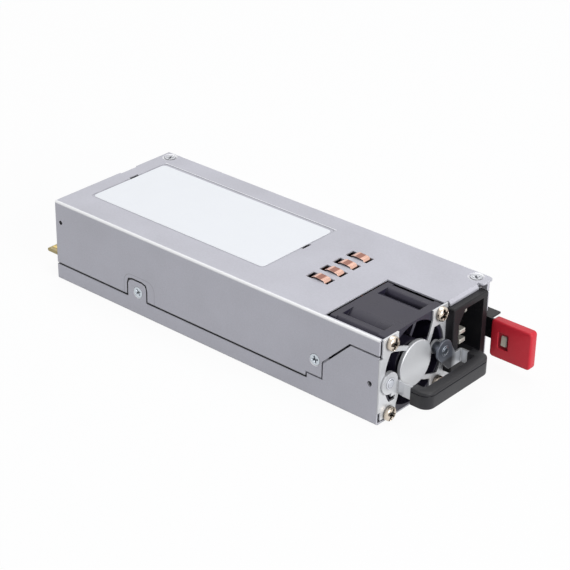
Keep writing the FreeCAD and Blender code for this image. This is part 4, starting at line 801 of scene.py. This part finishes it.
# ---- studio ------------------------------------------------------------------------------
@dataclass
class Studio:
    """Pale floor, soft light and the camera."""

    floor_size: float = 6.0
    floor_colour: Colour = (0.62, 0.62, 0.62)
    floor_seen: Colour = (0.97, 0.97, 0.97)
    floor_glow: float = 0.93
    world_colour: Colour = (0.90, 0.92, 0.97)
    world_strength: float = 0.42
    lamps: tuple[tuple[str, Place, float, float], ...] = (
        ("key_lamp", (-0.25, -1.5, 0.60), 1.0, 17.0), ("top_lamp", (0.35, 0.4, 1.6), 1.4, 10.5))
    camera_place: Place = (-0.51454, -0.45251, 0.38220)
    camera_right: Place = (0.65677, -0.75392, 0.01604)
    camera_forward: Place = (0.66979, 0.57344, -0.47175)
    lens: float = 112.84
    sensor: float = 36.0
    clip_start: float = 0.01

    def build(self) -> None:
        """Make the floor, world, lamps and camera."""
        self._floor()
        self._world()
        for lamp in self.lamps:
            self._lamp(*lamp)
        self._camera()
        bpy.context.scene.view_settings.view_transform = "Standard"

    def _floor(self) -> None:
        """Make the floor, white to the camera but for the object's shadow."""
        mesh = bpy.data.meshes.new("floor")
        half = self.floor_size / 2
        outline = [(-half, -half, 0), (half, -half, 0), (half, half, 0), (-half, half, 0)]
        mesh.from_pydata(outline, [], [(0, 1, 2, 3)])
        floor = linked("floor", mesh)
        material = bpy.data.materials.new("pale_floor")
        builder = NodeTree.fresh(material)
        seen = self._seen(builder)
        shown = builder.mix(seen, (*self.floor_colour, 1), (*self.floor_seen, 1))
        matt = builder.add("ShaderNodeBsdfDiffuse", {"Color": shown}).outputs[0]
        white = builder.add("ShaderNodeEmission", {"Color": WHITE, "Strength": 1.0}).outputs[0]
        share = builder.product(seen, self.floor_glow)
        mixed = builder.add("ShaderNodeMixShader", {0: share, 1: matt, 2: white})
        builder.add("ShaderNodeOutputMaterial", {"Surface": mixed.outputs[0]})
        mesh.materials.append(material)

    @staticmethod
    def _seen(builder: NodeTree) -> Socket:
        """Tell rays that see the background, straight or in a reflection, from rays that light the object.

        Args:
            builder: Builder of the material or world.

        Returns:
            A socket that is 1 for camera, glossy and transmission rays.
        """
        path = builder.add("ShaderNodeLightPath").outputs
        either = builder.math("MAXIMUM", path["Is Camera Ray"], path["Is Glossy Ray"])
        return builder.math("MAXIMUM", either, path["Is Transmission Ray"])

    def _world(self) -> None:
        """Make the even surrounding light."""
        world = bpy.data.worlds.new("studio")
        builder = NodeTree.fresh(world)
        light, white = (
            builder.add("ShaderNodeBackground", {"Color": colour, "Strength": strength}).outputs[0]
            for colour, strength in (((*self.world_colour, 1), self.world_strength), (WHITE, 1.0)))
        mixed = builder.add("ShaderNodeMixShader", {0: self._seen(builder), 1: light, 2: white})
        builder.add("ShaderNodeOutputWorld", {"Surface": mixed.outputs[0]})
        bpy.context.scene.world = world

    @staticmethod
    def _lamp(name: str, place: Place, size: float, power: float) -> None:
        """Make a square lamp that faces the object.

        Args:
            name: Name of the lamp.
            place: Where it hangs.
            size: Side of the lamp.
            power: Power in watts.
        """
        lamp = bpy.data.lights.new(name, "AREA")
        lamp.size = size
        lamp.energy = power
        holder = linked(name, lamp)
        holder.location = place
        holder.rotation_euler = (-Vector(place)).to_track_quat("-Z", "Y").to_euler()

    def _camera(self) -> None:
        """Make the camera and set it as the scene's."""
        right = Vector(self.camera_right).normalized()
        forward = Vector(self.camera_forward).normalized()
        turn = Matrix((right, right.cross(forward), -forward)).transposed().to_4x4()
        data = bpy.data.cameras.new("camera")
        data.lens = self.lens
        data.sensor_width = self.sensor
        data.clip_start = self.clip_start
        camera = linked("camera", data)
        camera.matrix_world = Matrix.Translation(self.camera_place) @ turn
        bpy.context.scene.camera = camera


# ---- mesh helpers ------------------------------------------------------------------------
def span(node: str) -> tuple[Vector, Vector]:
    """Give the lowest and the highest corner of a CAD node's box."""
    low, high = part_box(node)
    return Vector(low), Vector(high)


def smooth_piece(name: str, data: bpy.types.Mesh, sharp: float) -> bpy.types.Object:
    """Shade a mesh smooth but for its sharp edges, and make it an object.

    Args:
        name: Name of the object.
        data: The mesh.
        sharp: Angle in degrees past which an edge stays sharp.

    Returns:
        The object.
    """
    data.shade_smooth()
    data.set_sharp_from_angle(angle=math.radians(sharp))
    return linked(name, data)


def finished(name: str, mesh: BMesh, material: bpy.types.Material | None = None,
             sharp: float = 40.0) -> bpy.types.Object:
    """Turn a working mesh into an object at the origin, with outward faces.

    Args:
        name: Name of the object.
        mesh: The working mesh, in place, which is used up.
        material: Its material.
        sharp: Angle in degrees past which an edge stays sharp.

    Returns:
        The object.
    """
    bmesh.ops.remove_doubles(mesh, verts=mesh.verts, dist=1e-7)
    bmesh.ops.recalc_face_normals(mesh, faces=mesh.faces)
    data = bpy.data.meshes.new(name)
    mesh.to_mesh(data)
    mesh.free()
    if material:
        data.materials.append(material)
    return smooth_piece(name, data, sharp)


def bridge_loops(mesh: BMesh, loops: list[Loop], closed_ends: bool) -> None:
    """Join closed loops of equal length with faces.

    Args:
        mesh: Working mesh.
        loops: Loops of vertices in order.
        closed_ends: Whether the first and last loops get a cap.
    """
    for first, second in zip(loops, loops[1:]):
        count = len(first)
        for index in range(count):
            following = (index + 1) % count
            mesh.faces.new((first[index], first[following], second[following], second[index]))
    if closed_ends:
        mesh.faces.new(loops[0])
        mesh.faces.new(loops[-1][::-1])


def around(radius: float, count: int) -> list[tuple[float, float]]:
    """Give places spaced evenly round a circle."""
    angles = [2 * math.pi * step / count for step in range(count)]
    return [(radius * math.cos(angle), radius * math.sin(angle)) for angle in angles]


def clamped(value: float) -> float:
    """Keep a value from 0 to 1."""
    return min(max(value, 0.0), 1.0)


@dataclass(frozen=True)
class CrossHead:
    """Screw head with a cross recess, as a polar grid of rings; its base is at height nought."""

    radius: float
    height: float
    crown: float
    recess_span: float
    recess_width: float
    recess_depth: float
    shank: tuple[float, float] = (0.0015, 0.002)
    cone: float = 0.0
    rings: int = 18
    segments: int = 48
    dome_share: float = 0.96
    arm_root: float = 1.15
    arm_taper: float = 0.5
    side_slope: float = 0.35
    end_slope: float = 0.22

    def top(self, across: float, along: float) -> float:
        """Give the height of the head's top.

        Args:
            across: Distance from the axis along one arm.
            along: Distance from the axis along the other arm.

        Returns:
            The height above the base.
        """
        reach = min(math.hypot(across, along) / self.radius, 1.0)
        dome = self.height - self.crown * (1 - math.sqrt(1 - self.dome_share * reach ** 4))
        arms = 0.0
        for length, width in ((abs(across), abs(along)), (abs(along), abs(across))):
            taper = self.recess_width * (self.arm_root - self.arm_taper * length / self.recess_span)
            side = clamped((taper - width) / (self.recess_width * self.side_slope))
            end = clamped((self.recess_span - length) / (self.recess_span * self.end_slope))
            arms = max(arms, side * end)
        return dome - self.recess_depth * arms

    def mesh(self) -> BMesh:
        """Build the screw round the Z axis, its shank below.

        Returns:
            The working mesh.
        """
        mesh = bmesh.new()
        thin, length = self.shank
        loops = [self._ring(mesh, thin, lambda x, y: -length),
                 self._ring(mesh, thin, lambda x, y: -self.cone)]
        if not self.cone:
            loops.append(self._ring(mesh, self.radius, lambda x, y: 0.0))
        for step in range(self.rings, 0, -1):
            share = step / self.rings
            loops.append(self._ring(mesh, self.radius * share, self.top))
        bridge_loops(mesh, loops, False)
        centre = mesh.verts.new((0, 0, self.top(0, 0)))
        inner = loops[-1]
        for index, vert in enumerate(inner):
            mesh.faces.new((vert, inner[(index + 1) % len(inner)], centre))
        mesh.faces.new(loops[0][::-1])
        return mesh

    def _ring(self, mesh: BMesh, radius: float,
              top: Callable[[float, float], float]) -> Loop:
        """Add one ring of vertices, each at the height that its place gives."""
        return [mesh.verts.new((x, y, top(x, y))) for x, y in around(radius, self.segments)]


def lathe(profile: list[tuple[float, float]], segments: int = 40) -> BMesh:
    """Turn an open profile from rim to axis into a closed button round the Z axis.

    Args:
        profile: Radius and height of each point, from the base rim inwards.
        segments: Number of sides.

    Returns:
        The working mesh.
    """
    mesh = bmesh.new()
    loops = [[mesh.verts.new((x, y, height)) for x, y in around(radius, segments)]
             for radius, height in profile]
    bridge_loops(mesh, loops, True)
    return mesh


def rounded_outline(points: list[Vector], radius: float, steps: int = 6) -> list[Vector]:
    """Round the inner corners of an open path with arcs.

    Args:
        points: Corners of the path in one plane.
        radius: Radius of the arcs.
        steps: Pieces in each arc.

    Returns:
        The path's points.
    """
    path = [points[0].copy()]
    for before, here, after in zip(points, points[1:], points[2:]):
        back = (before - here).normalized()
        ahead = (after - here).normalized()
        half = back.angle(ahead) / 2
        reach = radius / math.tan(half)
        centre = here + (back + ahead).normalized() * (radius / math.sin(half))
        start, end = here + back * reach - centre, here + ahead * reach - centre
        turn = start.angle(end)
        for step in range(steps + 1):
            share = step / steps
            mixed = start * math.sin((1 - share) * turn) + end * math.sin(share * turn)
            path.append(centre + mixed / math.sin(turn))
    path.append(points[-1].copy())
    return path


# ---- geometry trees ----------------------------------------------------------------------
class GeometryTree(GroupTree):
    """Geometry Nodes tree with named inputs, run once on a carrier mesh and made plain."""

    def __init__(self, name: str, inputs: dict[str, object]) -> None:
        """Start a tree.

        Args:
            name: Name of the tree.
            inputs: Default values by name, or the names of socket types that have none.
        """
        given = {"Geometry": "NodeSocketGeometry", **inputs, "Finish": "NodeSocketMaterial"}
        super().__init__(name, given, {"Geometry": "Geometry"}, "GeometryNodeTree")

    def close(self, geometry: Socket) -> GeometryTree:
        """Close the tree with Realize Instances and Set Material.

        Args:
            geometry: What the tree made.

        Returns:
            The finished tree.
        """
        real = self.add("GeometryNodeRealizeInstances", {"Geometry": geometry})
        dressed = self.add("GeometryNodeSetMaterial", {
            "Geometry": real.outputs[0], "Material": self.given["Finish"]})
        self.end(Geometry=dressed.outputs[0])
        return self

    def run(self, name: str, points: list[Vector], values: dict[str, object],
            edges: list[tuple[int, int]] | None = None, sharp: float = 40.0) -> bpy.types.Object:
        """Run the tree on carrier points and keep the result as a plain mesh.

        Args:
            name: Name of the piece.
            points: Carrier points.
            values: Values by input name.
            edges: Edges between the carrier points.
            sharp: Angle in degrees past which an edge stays sharp.

        Returns:
            The piece, at the origin and with no modifier.
        """
        carrier_mesh = bpy.data.meshes.new(name + "_points")
        carrier_mesh.from_pydata([tuple(point) for point in points], edges or [], [])
        carrier = linked(name + "_points", carrier_mesh)
        modifier = carrier.modifiers.new("nodes", "NODES")
        modifier.node_group = self.tree
        sockets = {item.name: item.identifier for item in self.tree.interface.items_tree
                   if item.in_out == "INPUT"}
        for label, value in values.items():
            modifier[sockets[label]] = value
        carrier.update_tag()
        bpy.context.view_layer.update()
        evaluated = carrier.evaluated_get(bpy.context.evaluated_depsgraph_get())
        made = bpy.data.meshes.new_from_object(evaluated)
        made.name = name
        carrier.modifiers.remove(modifier)
        bpy.data.objects.remove(carrier)
        bpy.data.meshes.remove(carrier_mesh)
        return smooth_piece(name, made, sharp)


def head_setter() -> GeometryTree:
    """Build the tree that sets copies of one head on points, each turned about its axis at random.

    Returns:
        The tree.
    """
    tree = GeometryTree("set_heads", {
        "Head": "NodeSocketObject", "Axis": (0.0, 0.0, 1.0), "Size": 1.0, "Spin": 1.5, "Seed": 1})
    given = tree.given
    head = tree.add("GeometryNodeObjectInfo", {"Object": given["Head"], "As Instance": True})
    points = tree.add("GeometryNodeMeshToPoints", {"Mesh": given["Geometry"]})
    placed = tree.add("GeometryNodeInstanceOnPoints", {
        "Points": points.outputs[0], "Instance": head.outputs["Geometry"], "Scale": given["Size"]})
    chance = tree.add("FunctionNodeRandomValue", {"Max": given["Spin"], "Seed": given["Seed"]},
                      data_type="FLOAT")
    spin = tree.add("ShaderNodeVectorMath", {0: given["Axis"], "Scale": chance.outputs[1]}, operation="SCALE")
    turned = tree.add("GeometryNodeRotateInstances", {
        "Instances": placed.outputs[0], "Rotation": spin.outputs[0]})
    return tree.close(turned.outputs[0])


def strip_maker() -> GeometryTree:
    """Build the tree that sweeps a flat strip along a path and repeats it in a row.

    Returns:
        The tree.
    """
    tree = GeometryTree("row_of_strips", {
        "Width": 0.004, "Sheet": 0.00025, "Bend": 0.0004, "Count": 4, "Pitch": (0.0085, 0.0, 0.0)})
    given = tree.given
    path = tree.add("GeometryNodeMeshToCurve", {"Mesh": given["Geometry"]})
    bent = tree.add("GeometryNodeFilletCurve", {
        "Curve": path.outputs[0], "Radius": given["Bend"], "Count": 5, "Limit Radius": True}, mode="POLY")
    outline = tree.add("GeometryNodeCurvePrimitiveQuadrilateral", {0: given["Width"], 1: given["Sheet"]})
    swept = tree.add("GeometryNodeCurveToMesh", {
        "Curve": bent.outputs[0], "Profile Curve": outline.outputs[0], "Fill Caps": True})
    row = tree.add("GeometryNodeMeshLine", {"Count": given["Count"], "Offset": given["Pitch"]})
    copies = tree.add("GeometryNodeInstanceOnPoints", {
        "Points": row.outputs[0], "Instance": swept.outputs[0]})
    return tree.close(copies.outputs[0])


def winding_maker() -> GeometryTree:
    """Build the tree that winds turns of wire round a ring core whose axis runs along Y.

    Returns:
        The tree.
    """
    tree = GeometryTree("ring_winding", {
        "Ring": 0.0085, "Turn": 0.004, "Wire": 0.0005, "Turns": 26, "Centre": NOUGHT})
    given = tree.given
    ring, turn, wire = (
        tree.add("GeometryNodeCurvePrimitiveCircle", {"Resolution": sides, "Radius": given[label]}).outputs[0]
        for label, sides in (("Ring", given["Turns"]), ("Turn", 20), ("Wire", 7)))
    tube = tree.add("GeometryNodeCurveToMesh", {"Curve": turn, "Profile Curve": wire})
    points = tree.add("GeometryNodeCurveToPoints", {"Curve": ring}, mode="EVALUATED")
    wound = tree.add("GeometryNodeInstanceOnPoints", {
        "Points": points.outputs["Points"], "Instance": tube.outputs[0],
        "Rotation": points.outputs["Rotation"]})
    stood = tree.add("GeometryNodeTransform", {
        "Geometry": wound.outputs[0], "Rotation": (math.pi / 2, 0, 0), "Translation": given["Centre"]})
    return tree.close(stood.outputs[0])


# ---- sub-assemblies ----------------------------------------------------------------------
@dataclass
class Fasteners:
    """Screws and rivets that show: each kind is one turned master set on its places."""

    shop: Workshop
    setter: GeometryTree
    pan_radius: float = 0.0031
    pan_height: float = 0.0024
    flat_radius: float = 0.00258
    flat_room: float = 0.0028
    rivet_radius: float = 0.0024
    rivet_stem: tuple[float, float] = (0.0014, 0.0006)
    rivet_profile: tuple[tuple[float, float], ...] = (
        (1.0, 0.00018), (0.96, 0.00036), (0.86, 0.00044), (0.78, 0.00044), (0.76, 0.00022), (0.71, 0.00022),
        (0.69, 0.00048), (0.60, 0.00058), (0.30, 0.00060))
    strap: float = 0.001
    dimple: float = 0.00008

    def build(self) -> None:
        """Make every visible screw and rivet."""
        self._fan_screws()
        self._side_screws()
        self._top_screws()
        self._rivets()

    def _set(self, name: str, master: BMesh, points: list[Vector], axis: Vector, finish: Finish,
             seed: int, spin: float) -> bpy.types.Object:
        """Set copies of one master on points.

        Args:
            name: Name of the piece.
            master: Master fastener along +Z, its seat at height nought.
            points: Seats.
            axis: Direction that the heads face.
            finish: Finish of the piece.
            seed: Seed for the random turns.
            spin: Greatest turn in radians.

        Returns:
            The piece.
        """
        turn = UPWARDS.rotation_difference(axis).to_matrix().to_4x4()
        bmesh.ops.transform(master, matrix=turn, verts=master.verts)
        model = finished(name + "_master", master)
        piece = self.setter.run(name, points, {
            "Head": model, "Axis": tuple(axis), "Seed": seed, "Spin": spin,
            "Finish": self.shop.material(finish)}, sharp=38.0)
        bpy.data.objects.remove(model)
        return piece

    def _fan_screws(self) -> None:
        """Make the four pan-head screws of the fan."""
        low, high = span("fan_screws")
        radius = self.pan_radius
        points = [Vector((x, low.y + self.pan_height, z)) for z in (low.z + radius, high.z - radius)
                  for x in (low.x + radius, high.x - radius)]
        head = CrossHead(radius, self.pan_height, crown=0.0010, recess_span=0.0027, recess_width=0.0009,
                         recess_depth=0.0017, shank=(0.0019, 0.009))
        piece = self._set("fan_screw_heads", head.mesh(), points, FORWARDS, SCREW_NICKEL, 4, 1.5)
        self.shop.place(piece, "case", "screw_nickel", "fan_screws")

    def _flat_head(self) -> BMesh:
        """Build the countersunk head, flush with its seat."""
        return CrossHead(self.flat_radius, -self.dimple, crown=0.0, recess_span=0.00170, recess_width=0.00050,
                         recess_depth=0.0010, shank=(0.0014, 0.0024), cone=0.0012).mesh()

    def _side_screws(self) -> None:
        """Make the countersunk screws of both side walls."""
        low, high = span("side_screws")
        room = self.flat_room
        places = [(low.y + room, high.z - room), (high.y - room, low.z + room)]
        for side, x, way, seed in (("left", low.x, -1, 2), ("right", high.x, 1, 5)):
            points = [Vector((x, y, z)) for y, z in places]
            piece = self._set(f"{side}_case_screws", self._flat_head(), points, Vector((way, 0, 0)),
                              CASE_SCREW, seed, 1.2)
            self.shop.place(piece, "case", "screw_nickel", "side_screws")

    def _top_screws(self) -> None:
        """Make the countersunk screws of the roof."""
        low, high = span("top_screws")
        x = (low.x + high.x) / 2
        points = [Vector((x, y, high.z)) for y in (low.y + self.flat_room, high.y - self.flat_room)]
        piece = self._set("roof_screws", self._flat_head(), points, UPWARDS, ROOF_SCREW, 7, 1.2)
        self.shop.place(piece, "case", "screw_nickel", "top_screws")

    def _rivets(self) -> None:
        """Make the bright and the dark rivet of the handle."""
        low, high = span("handle_rivets")
        radius = self.rivet_radius
        places = (("left", low.x + radius, low.z + radius, BRIGHT_RIVET),
                  ("right", high.x - radius, high.z - radius, DARK_RIVET))
        stem, depth = self.rivet_stem
        profile = [(stem, -depth), (stem, 0.0), (radius, 0.0)]
        profile += [(radius * share, height) for share, height in self.rivet_profile]
        for side, x, z, finish in places:
            seat = Vector((x, span(f"{side}_handle_bracket")[1].y - self.strap, z))
            piece = self._set(f"{side}_handle_rivet", lathe(profile), [seat], FORWARDS, finish, 1, 0.0)
            self.shop.place(piece, "case", "plate_steel", "handle_rivets")


@dataclass
class SpringFingers:
    """Copper fingers that rise through one slot of the roof and dive into the next."""

    shop: Workshop
    width: float = 0.0042
    sheet: float = 0.00025
    pitch: float = 0.00855
    count: int = 4
    bend: float = 0.0003
    roof_top: float = 0.039
    arch: tuple[tuple[float, float], ...] = ((1.0, 0.25), (0.80, 0.82), (0.48, 0.74), (0.13, 0.50))
    dip: tuple[float, float] = (0.03, 0.0004)
    toe: float = 0.18

    def build(self) -> None:
        """Sweep one finger and repeat it."""
        low, high = span("spring_fingers")
        half = self.sheet / 2
        back, front = high.y - half, low.y + half
        foot, rise = low.z + half, high.z - half - self.roof_top
        outline = [(1.0, foot), *((share, self.roof_top + up * rise) for share, up in self.arch),
                   (self.dip[0], self.roof_top - self.dip[1]), (0.0, foot), (self.toe, foot)]
        x = low.x + self.width / 2
        points = [Vector((x, front + share * (back - front), z)) for share, z in outline]
        edges = [(index, index + 1) for index in range(len(points) - 1)]
        piece = strip_maker().run("grounding_fingers", points, {
            "Width": self.width, "Sheet": self.sheet, "Bend": self.bend, "Count": self.count,
            "Pitch": (self.pitch, 0.0, 0.0), "Finish": self.shop.material(COPPER)}, edges=edges)
        self.shop.place(piece, "case", "copper", "spring_fingers")


@dataclass
class Grip:
    """Moulded U-shaped finger grip with a parting groove under its top edge."""

    shop: Workshop
    wall: float = 0.0046
    bar: float = 0.0050
    corner_radius: float = 0.0045
    inner_radius: float = 0.0015
    edge: float = 0.0006
    end_reach: float = 0.7
    end_steps: tuple[tuple[float, float], ...] = ((0.0, 1.0), (0.12, 0.55), (0.4, 0.2), (1.0, 0.0))
    groove_drop: float = 0.0015
    groove_width: float = 0.0005
    groove_depth: float = 0.00045
    groove_floor: float = 0.5
    arc_steps: int = 10
    bar_steps: int = 8
    edge_steps: int = 4

    def build(self) -> None:
        """Loft the section along the U."""
        low, high = span("handle_grip")
        outer = self._path(low.x, high.x, low.y, high.y, self.corner_radius)
        inner = self._path(low.x + self.wall, high.x - self.wall, low.y + self.bar, high.y, self.inner_radius)
        pairs = list(zip(outer, inner))
        stations = [*self._end(*pairs[0]), *((*pair, 0.0) for pair in pairs[1:-1]),
                    *self._end(*pairs[-1])[::-1]]
        mesh = bmesh.new()
        loops = [self._section(mesh, *station, low.z, high.z) for station in stations]
        bridge_loops(mesh, loops, True)
        piece = finished("finger_grip", mesh, self.shop.material(GRIP_PLASTIC), 45.0)
        self.shop.place(piece, "case", "grip_plastic", "handle_grip")

    def _path(self, left: float, right: float, front: float, back: float, radius: float) -> list[Vector]:
        """Give a U-shaped path with rounded corners and a fixed number of points.

        Args:
            left: Left limit.
            right: Right limit.
            front: Front limit.
            back: Where the arms end.
            radius: Radius of the corners.

        Returns:
            The path's points.
        """
        places = [Vector((x, y, 0)) for x, y in ((left, back), (left, front), (right, front), (right, back))]
        rounded = rounded_outline(places, radius, self.arc_steps)
        start = self.arc_steps + 2
        first, last = rounded[start - 1], rounded[start]
        middle = [first.lerp(last, step / self.bar_steps) for step in range(1, self.bar_steps)]
        return rounded[:start] + middle + rounded[start:]

    def _end(self, outside: Vector, inside: Vector) -> list[tuple[Vector, Vector, float]]:
        """Give the stations that round the end of one arm, from its tip.

        Args:
            outside: Outer point where the arm ends.
            inside: Inner point where the arm ends.

        Returns:
            Outer point, inner point and shrink of the section for each station.
        """
        reach = self.edge * self.end_reach
        return [(outside + FORWARDS * share * reach, inside + FORWARDS * share * reach, shrink * reach)
                for share, shrink in self.end_steps]

    def _section(self, mesh: BMesh, outside: Vector, inside: Vector, shrink: float,
                 bottom: float, top: float) -> Loop:
        """Add the section between an outer and an inner point.

        Args:
            mesh: Working mesh.
            outside: Point of the outer path.
            inside: Point of the inner path.
            shrink: How far the section draws in at an end.
            bottom: Lowest height.
            top: Highest height.

        Returns:
            The section's vertices in order.
        """
        edge, groove = self.edge, top - self.groove_drop
        half, cut = self.groove_width / 2, shrink + self.groove_depth
        inner_half = half * self.groove_floor
        outline = [(shrink, bottom + shrink + edge), (shrink, groove - half), (cut, groove - inner_half),
                   (cut, groove + inner_half), (shrink, groove + half)]
        near, far = shrink + edge, (inside - outside).length - shrink - edge
        low, high = bottom + shrink + edge, top - shrink - edge
        arcs = []
        for quarter, (across, height) in enumerate(((near, high), (far, high), (far, low), (near, low))):
            for step in range(self.edge_steps + 1):
                angle = math.pi - math.pi / 2 * (quarter + step / self.edge_steps)
                arcs.append((across + edge * math.cos(angle), height + edge * math.sin(angle)))
        inward = (inside - outside).normalized()
        return [mesh.verts.new(outside + inward * across + UPWARDS * height)
                for across, height in outline + arcs[1:-1]]


@dataclass
class LatchTab:
    """Moulded finger tab of the latch, with a window and the small pale catch in it."""

    shop: Workshop
    corner_radius: float = 0.0017
    least_radius: float = 0.0001
    edge: float = 0.0009
    edge_steps: int = 4
    window_centre: float = 0.0064
    window_width: float = 0.0050
    window_height: float = 0.0074
    window_radius: float = 0.0006
    window_depth: float = 0.00135
    window_lip: float = 0.0002
    catch: Place = (0.0010, 0.0029, 0.0050)
    catch_slant: tuple[float, float] = (0.0003, 0.0008)
    catch_edge: float = 0.0003
    steps: int = 5

    def build(self) -> None:
        """Make the tab and its catch."""
        low, high = span("latch_tab")
        centre = Vector((0, high.y - self.window_centre, (low.z + high.z) / 2))
        self._tab(low, high, centre)
        self._catch(low.x + self.window_depth, centre)

    def _tab(self, low: Vector, high: Vector, centre: Vector) -> None:
        """Make the tab as loops from its far face round the edge to the window's floor.

        Args:
            low: Lowest corner of the tab.
            high: Highest corner of the tab.
            centre: Centre of the window, at no place along X.
        """
        mesh = bmesh.new()
        edge = self.edge
        arc = [math.pi / 2 * step / self.edge_steps for step in range(self.edge_steps + 1)]
        rims = [(high.x - edge * (1 - math.cos(angle)), edge * (1 - math.sin(angle))) for angle in arc]
        rims += [(low.x + edge * (1 - math.sin(angle)), edge * (1 - math.cos(angle))) for angle in arc]
        loops = [self._outline(mesh, x, low, high, self.corner_radius, inset) for x, inset in rims]
        half = Vector((0, self.window_width / 2, self.window_height / 2))
        for depth, inset in ((0.0, -self.window_lip), (self.window_lip, 0.0), (self.window_depth, 0.0)):
            loops.append(self._outline(mesh, low.x + depth, centre - half, centre + half,
                                       self.window_radius, inset))
        bridge_loops(mesh, loops, True)
        piece = finished("latch_finger_tab", mesh, self.shop.material(RED_PLASTIC), 30.0)
        self.shop.place(piece, "latch", "red_plastic", "latch_tab")

    def _outline(self, mesh: BMesh, x: float, low: Vector, high: Vector, radius: float,
                 inset: float) -> Loop:
        """Add a rounded rectangle across the X axis.

        Args:
            mesh: Working mesh.
            x: Its place along X.
            low: Corner with the lowest Y and Z.
            high: Corner with the highest Y and Z.
            radius: Radius of its corners before the inset.
            inset: How far it is drawn in.

        Returns:
            The loop's vertices.
        """
        rounding = max(radius - inset, self.least_radius)
        left, right = low.y + inset + rounding, high.y - inset - rounding
        bottom, top = low.z + inset + rounding, high.z - inset - rounding
        loop = []
        for quarter, (y, z) in enumerate(((right, top), (left, top), (left, bottom), (right, bottom))):
            for step in range(self.steps + 1):
                angle = math.pi / 2 * (quarter + step / self.steps)
                place = (x, y + rounding * math.cos(angle), z + rounding * math.sin(angle))
                loop.append(mesh.verts.new(place))
        return loop

    def _catch(self, floor: float, centre: Vector) -> None:
        """Make the catch on the window's floor.

        Args:
            floor: Place of the floor along X.
            centre: Centre of the window, at no place along X.
        """
        back, drop = self.catch_slant
        mesh = bmesh.new()
        bmesh.ops.create_cube(mesh, size=1.0)
        bmesh.ops.scale(mesh, vec=self.catch, verts=mesh.verts)
        slanted = [vert for vert in mesh.verts if vert.co.x < 0 and vert.co.z > 0]
        bmesh.ops.translate(mesh, vec=(back, 0, -drop), verts=slanted)
        bmesh.ops.bevel(mesh, geom=list(mesh.edges), offset=self.catch_edge, segments=3, affect="EDGES")
        bmesh.ops.translate(mesh, vec=centre + Vector((floor - self.catch[0] / 2, 0, 0)), verts=mesh.verts)
        piece = finished("latch_catch", mesh, self.shop.material(PALE_PLASTIC))
        self.shop.place(piece, "latch", "red_plastic")


@dataclass
class Choke:
    """Ring choke: a coated core and the turns of wire round it."""

    shop: Workshop
    winder: GeometryTree
    node: str
    turns: int
    wire: float = 0.0006
    core_round: float = 0.0009
    core_room: float = 1.05
    core_share: float = 0.78
    core_steps: int = 64

    def build(self) -> None:
        """Wind the choke in the room of its CAD ring."""
        low, high = span(self.node)
        centre = (low + high) / 2
        turn = (high.y - low.y) / 2 - self.wire
        ring = min(high.x - low.x, high.z - low.z) / 2 - turn - self.wire
        core = self._core(centre, ring, turn - self.wire * self.core_room)
        self.shop.place(core, "case", "ferrite", self.node)
        coil = self.winder.run(f"{self.node}_wire", [centre], {
            "Ring": ring, "Turn": turn, "Wire": self.wire, "Turns": self.turns, "Centre": tuple(centre),
            "Finish": self.shop.material(ENAMEL_WIRE)}, sharp=60.0)
        self.shop.place(coil, "case", "enamel_wire", self.node)

    def _core(self, centre: Vector, ring: float, half: float) -> bpy.types.Object:
        """Make the core as a ring with a rounded square section.

        Args:
            centre: Centre of the ring.
            ring: Radius of the ring's middle line.
            half: Half of the room for the section's side.

        Returns:
            The core.
        """
        mesh = bmesh.new()
        side = half * self.core_share
        flat = side - self.core_round
        outline = [(-side, -flat), (-side, flat), (-flat, side), (flat, side),
                   (side, flat), (side, -flat), (flat, -side), (-flat, -side)]
        loops = [[mesh.verts.new(centre + Vector((x, 0, z)) * (ring + across) + Vector((0, along, 0)))
                  for across, along in outline] for x, z in around(1.0, self.core_steps)]
        bridge_loops(mesh, loops + [loops[0]], False)
        return finished(f"{self.node}_core", mesh, self.shop.material(FERRITE))


def main() -> None:
    """Build every sub-assembly over the frame, in order."""
    logging.basicConfig(level=logging.INFO, format="%(name)s: %(message)s")
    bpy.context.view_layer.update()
    shop = Workshop(FRAME)
    shop.dress_nodes()
    winder = winding_maker()
    Fasteners(shop, head_setter()).build()
    SpringFingers(shop).build()
    Grip(shop).build()
    LatchTab(shop).build()
    Choke(shop, winder, "filter_choke", 30).build()
    Choke(shop, winder, "boost_choke", 34).build()
    Studio().build()


if __name__ == "__main__":
    main()
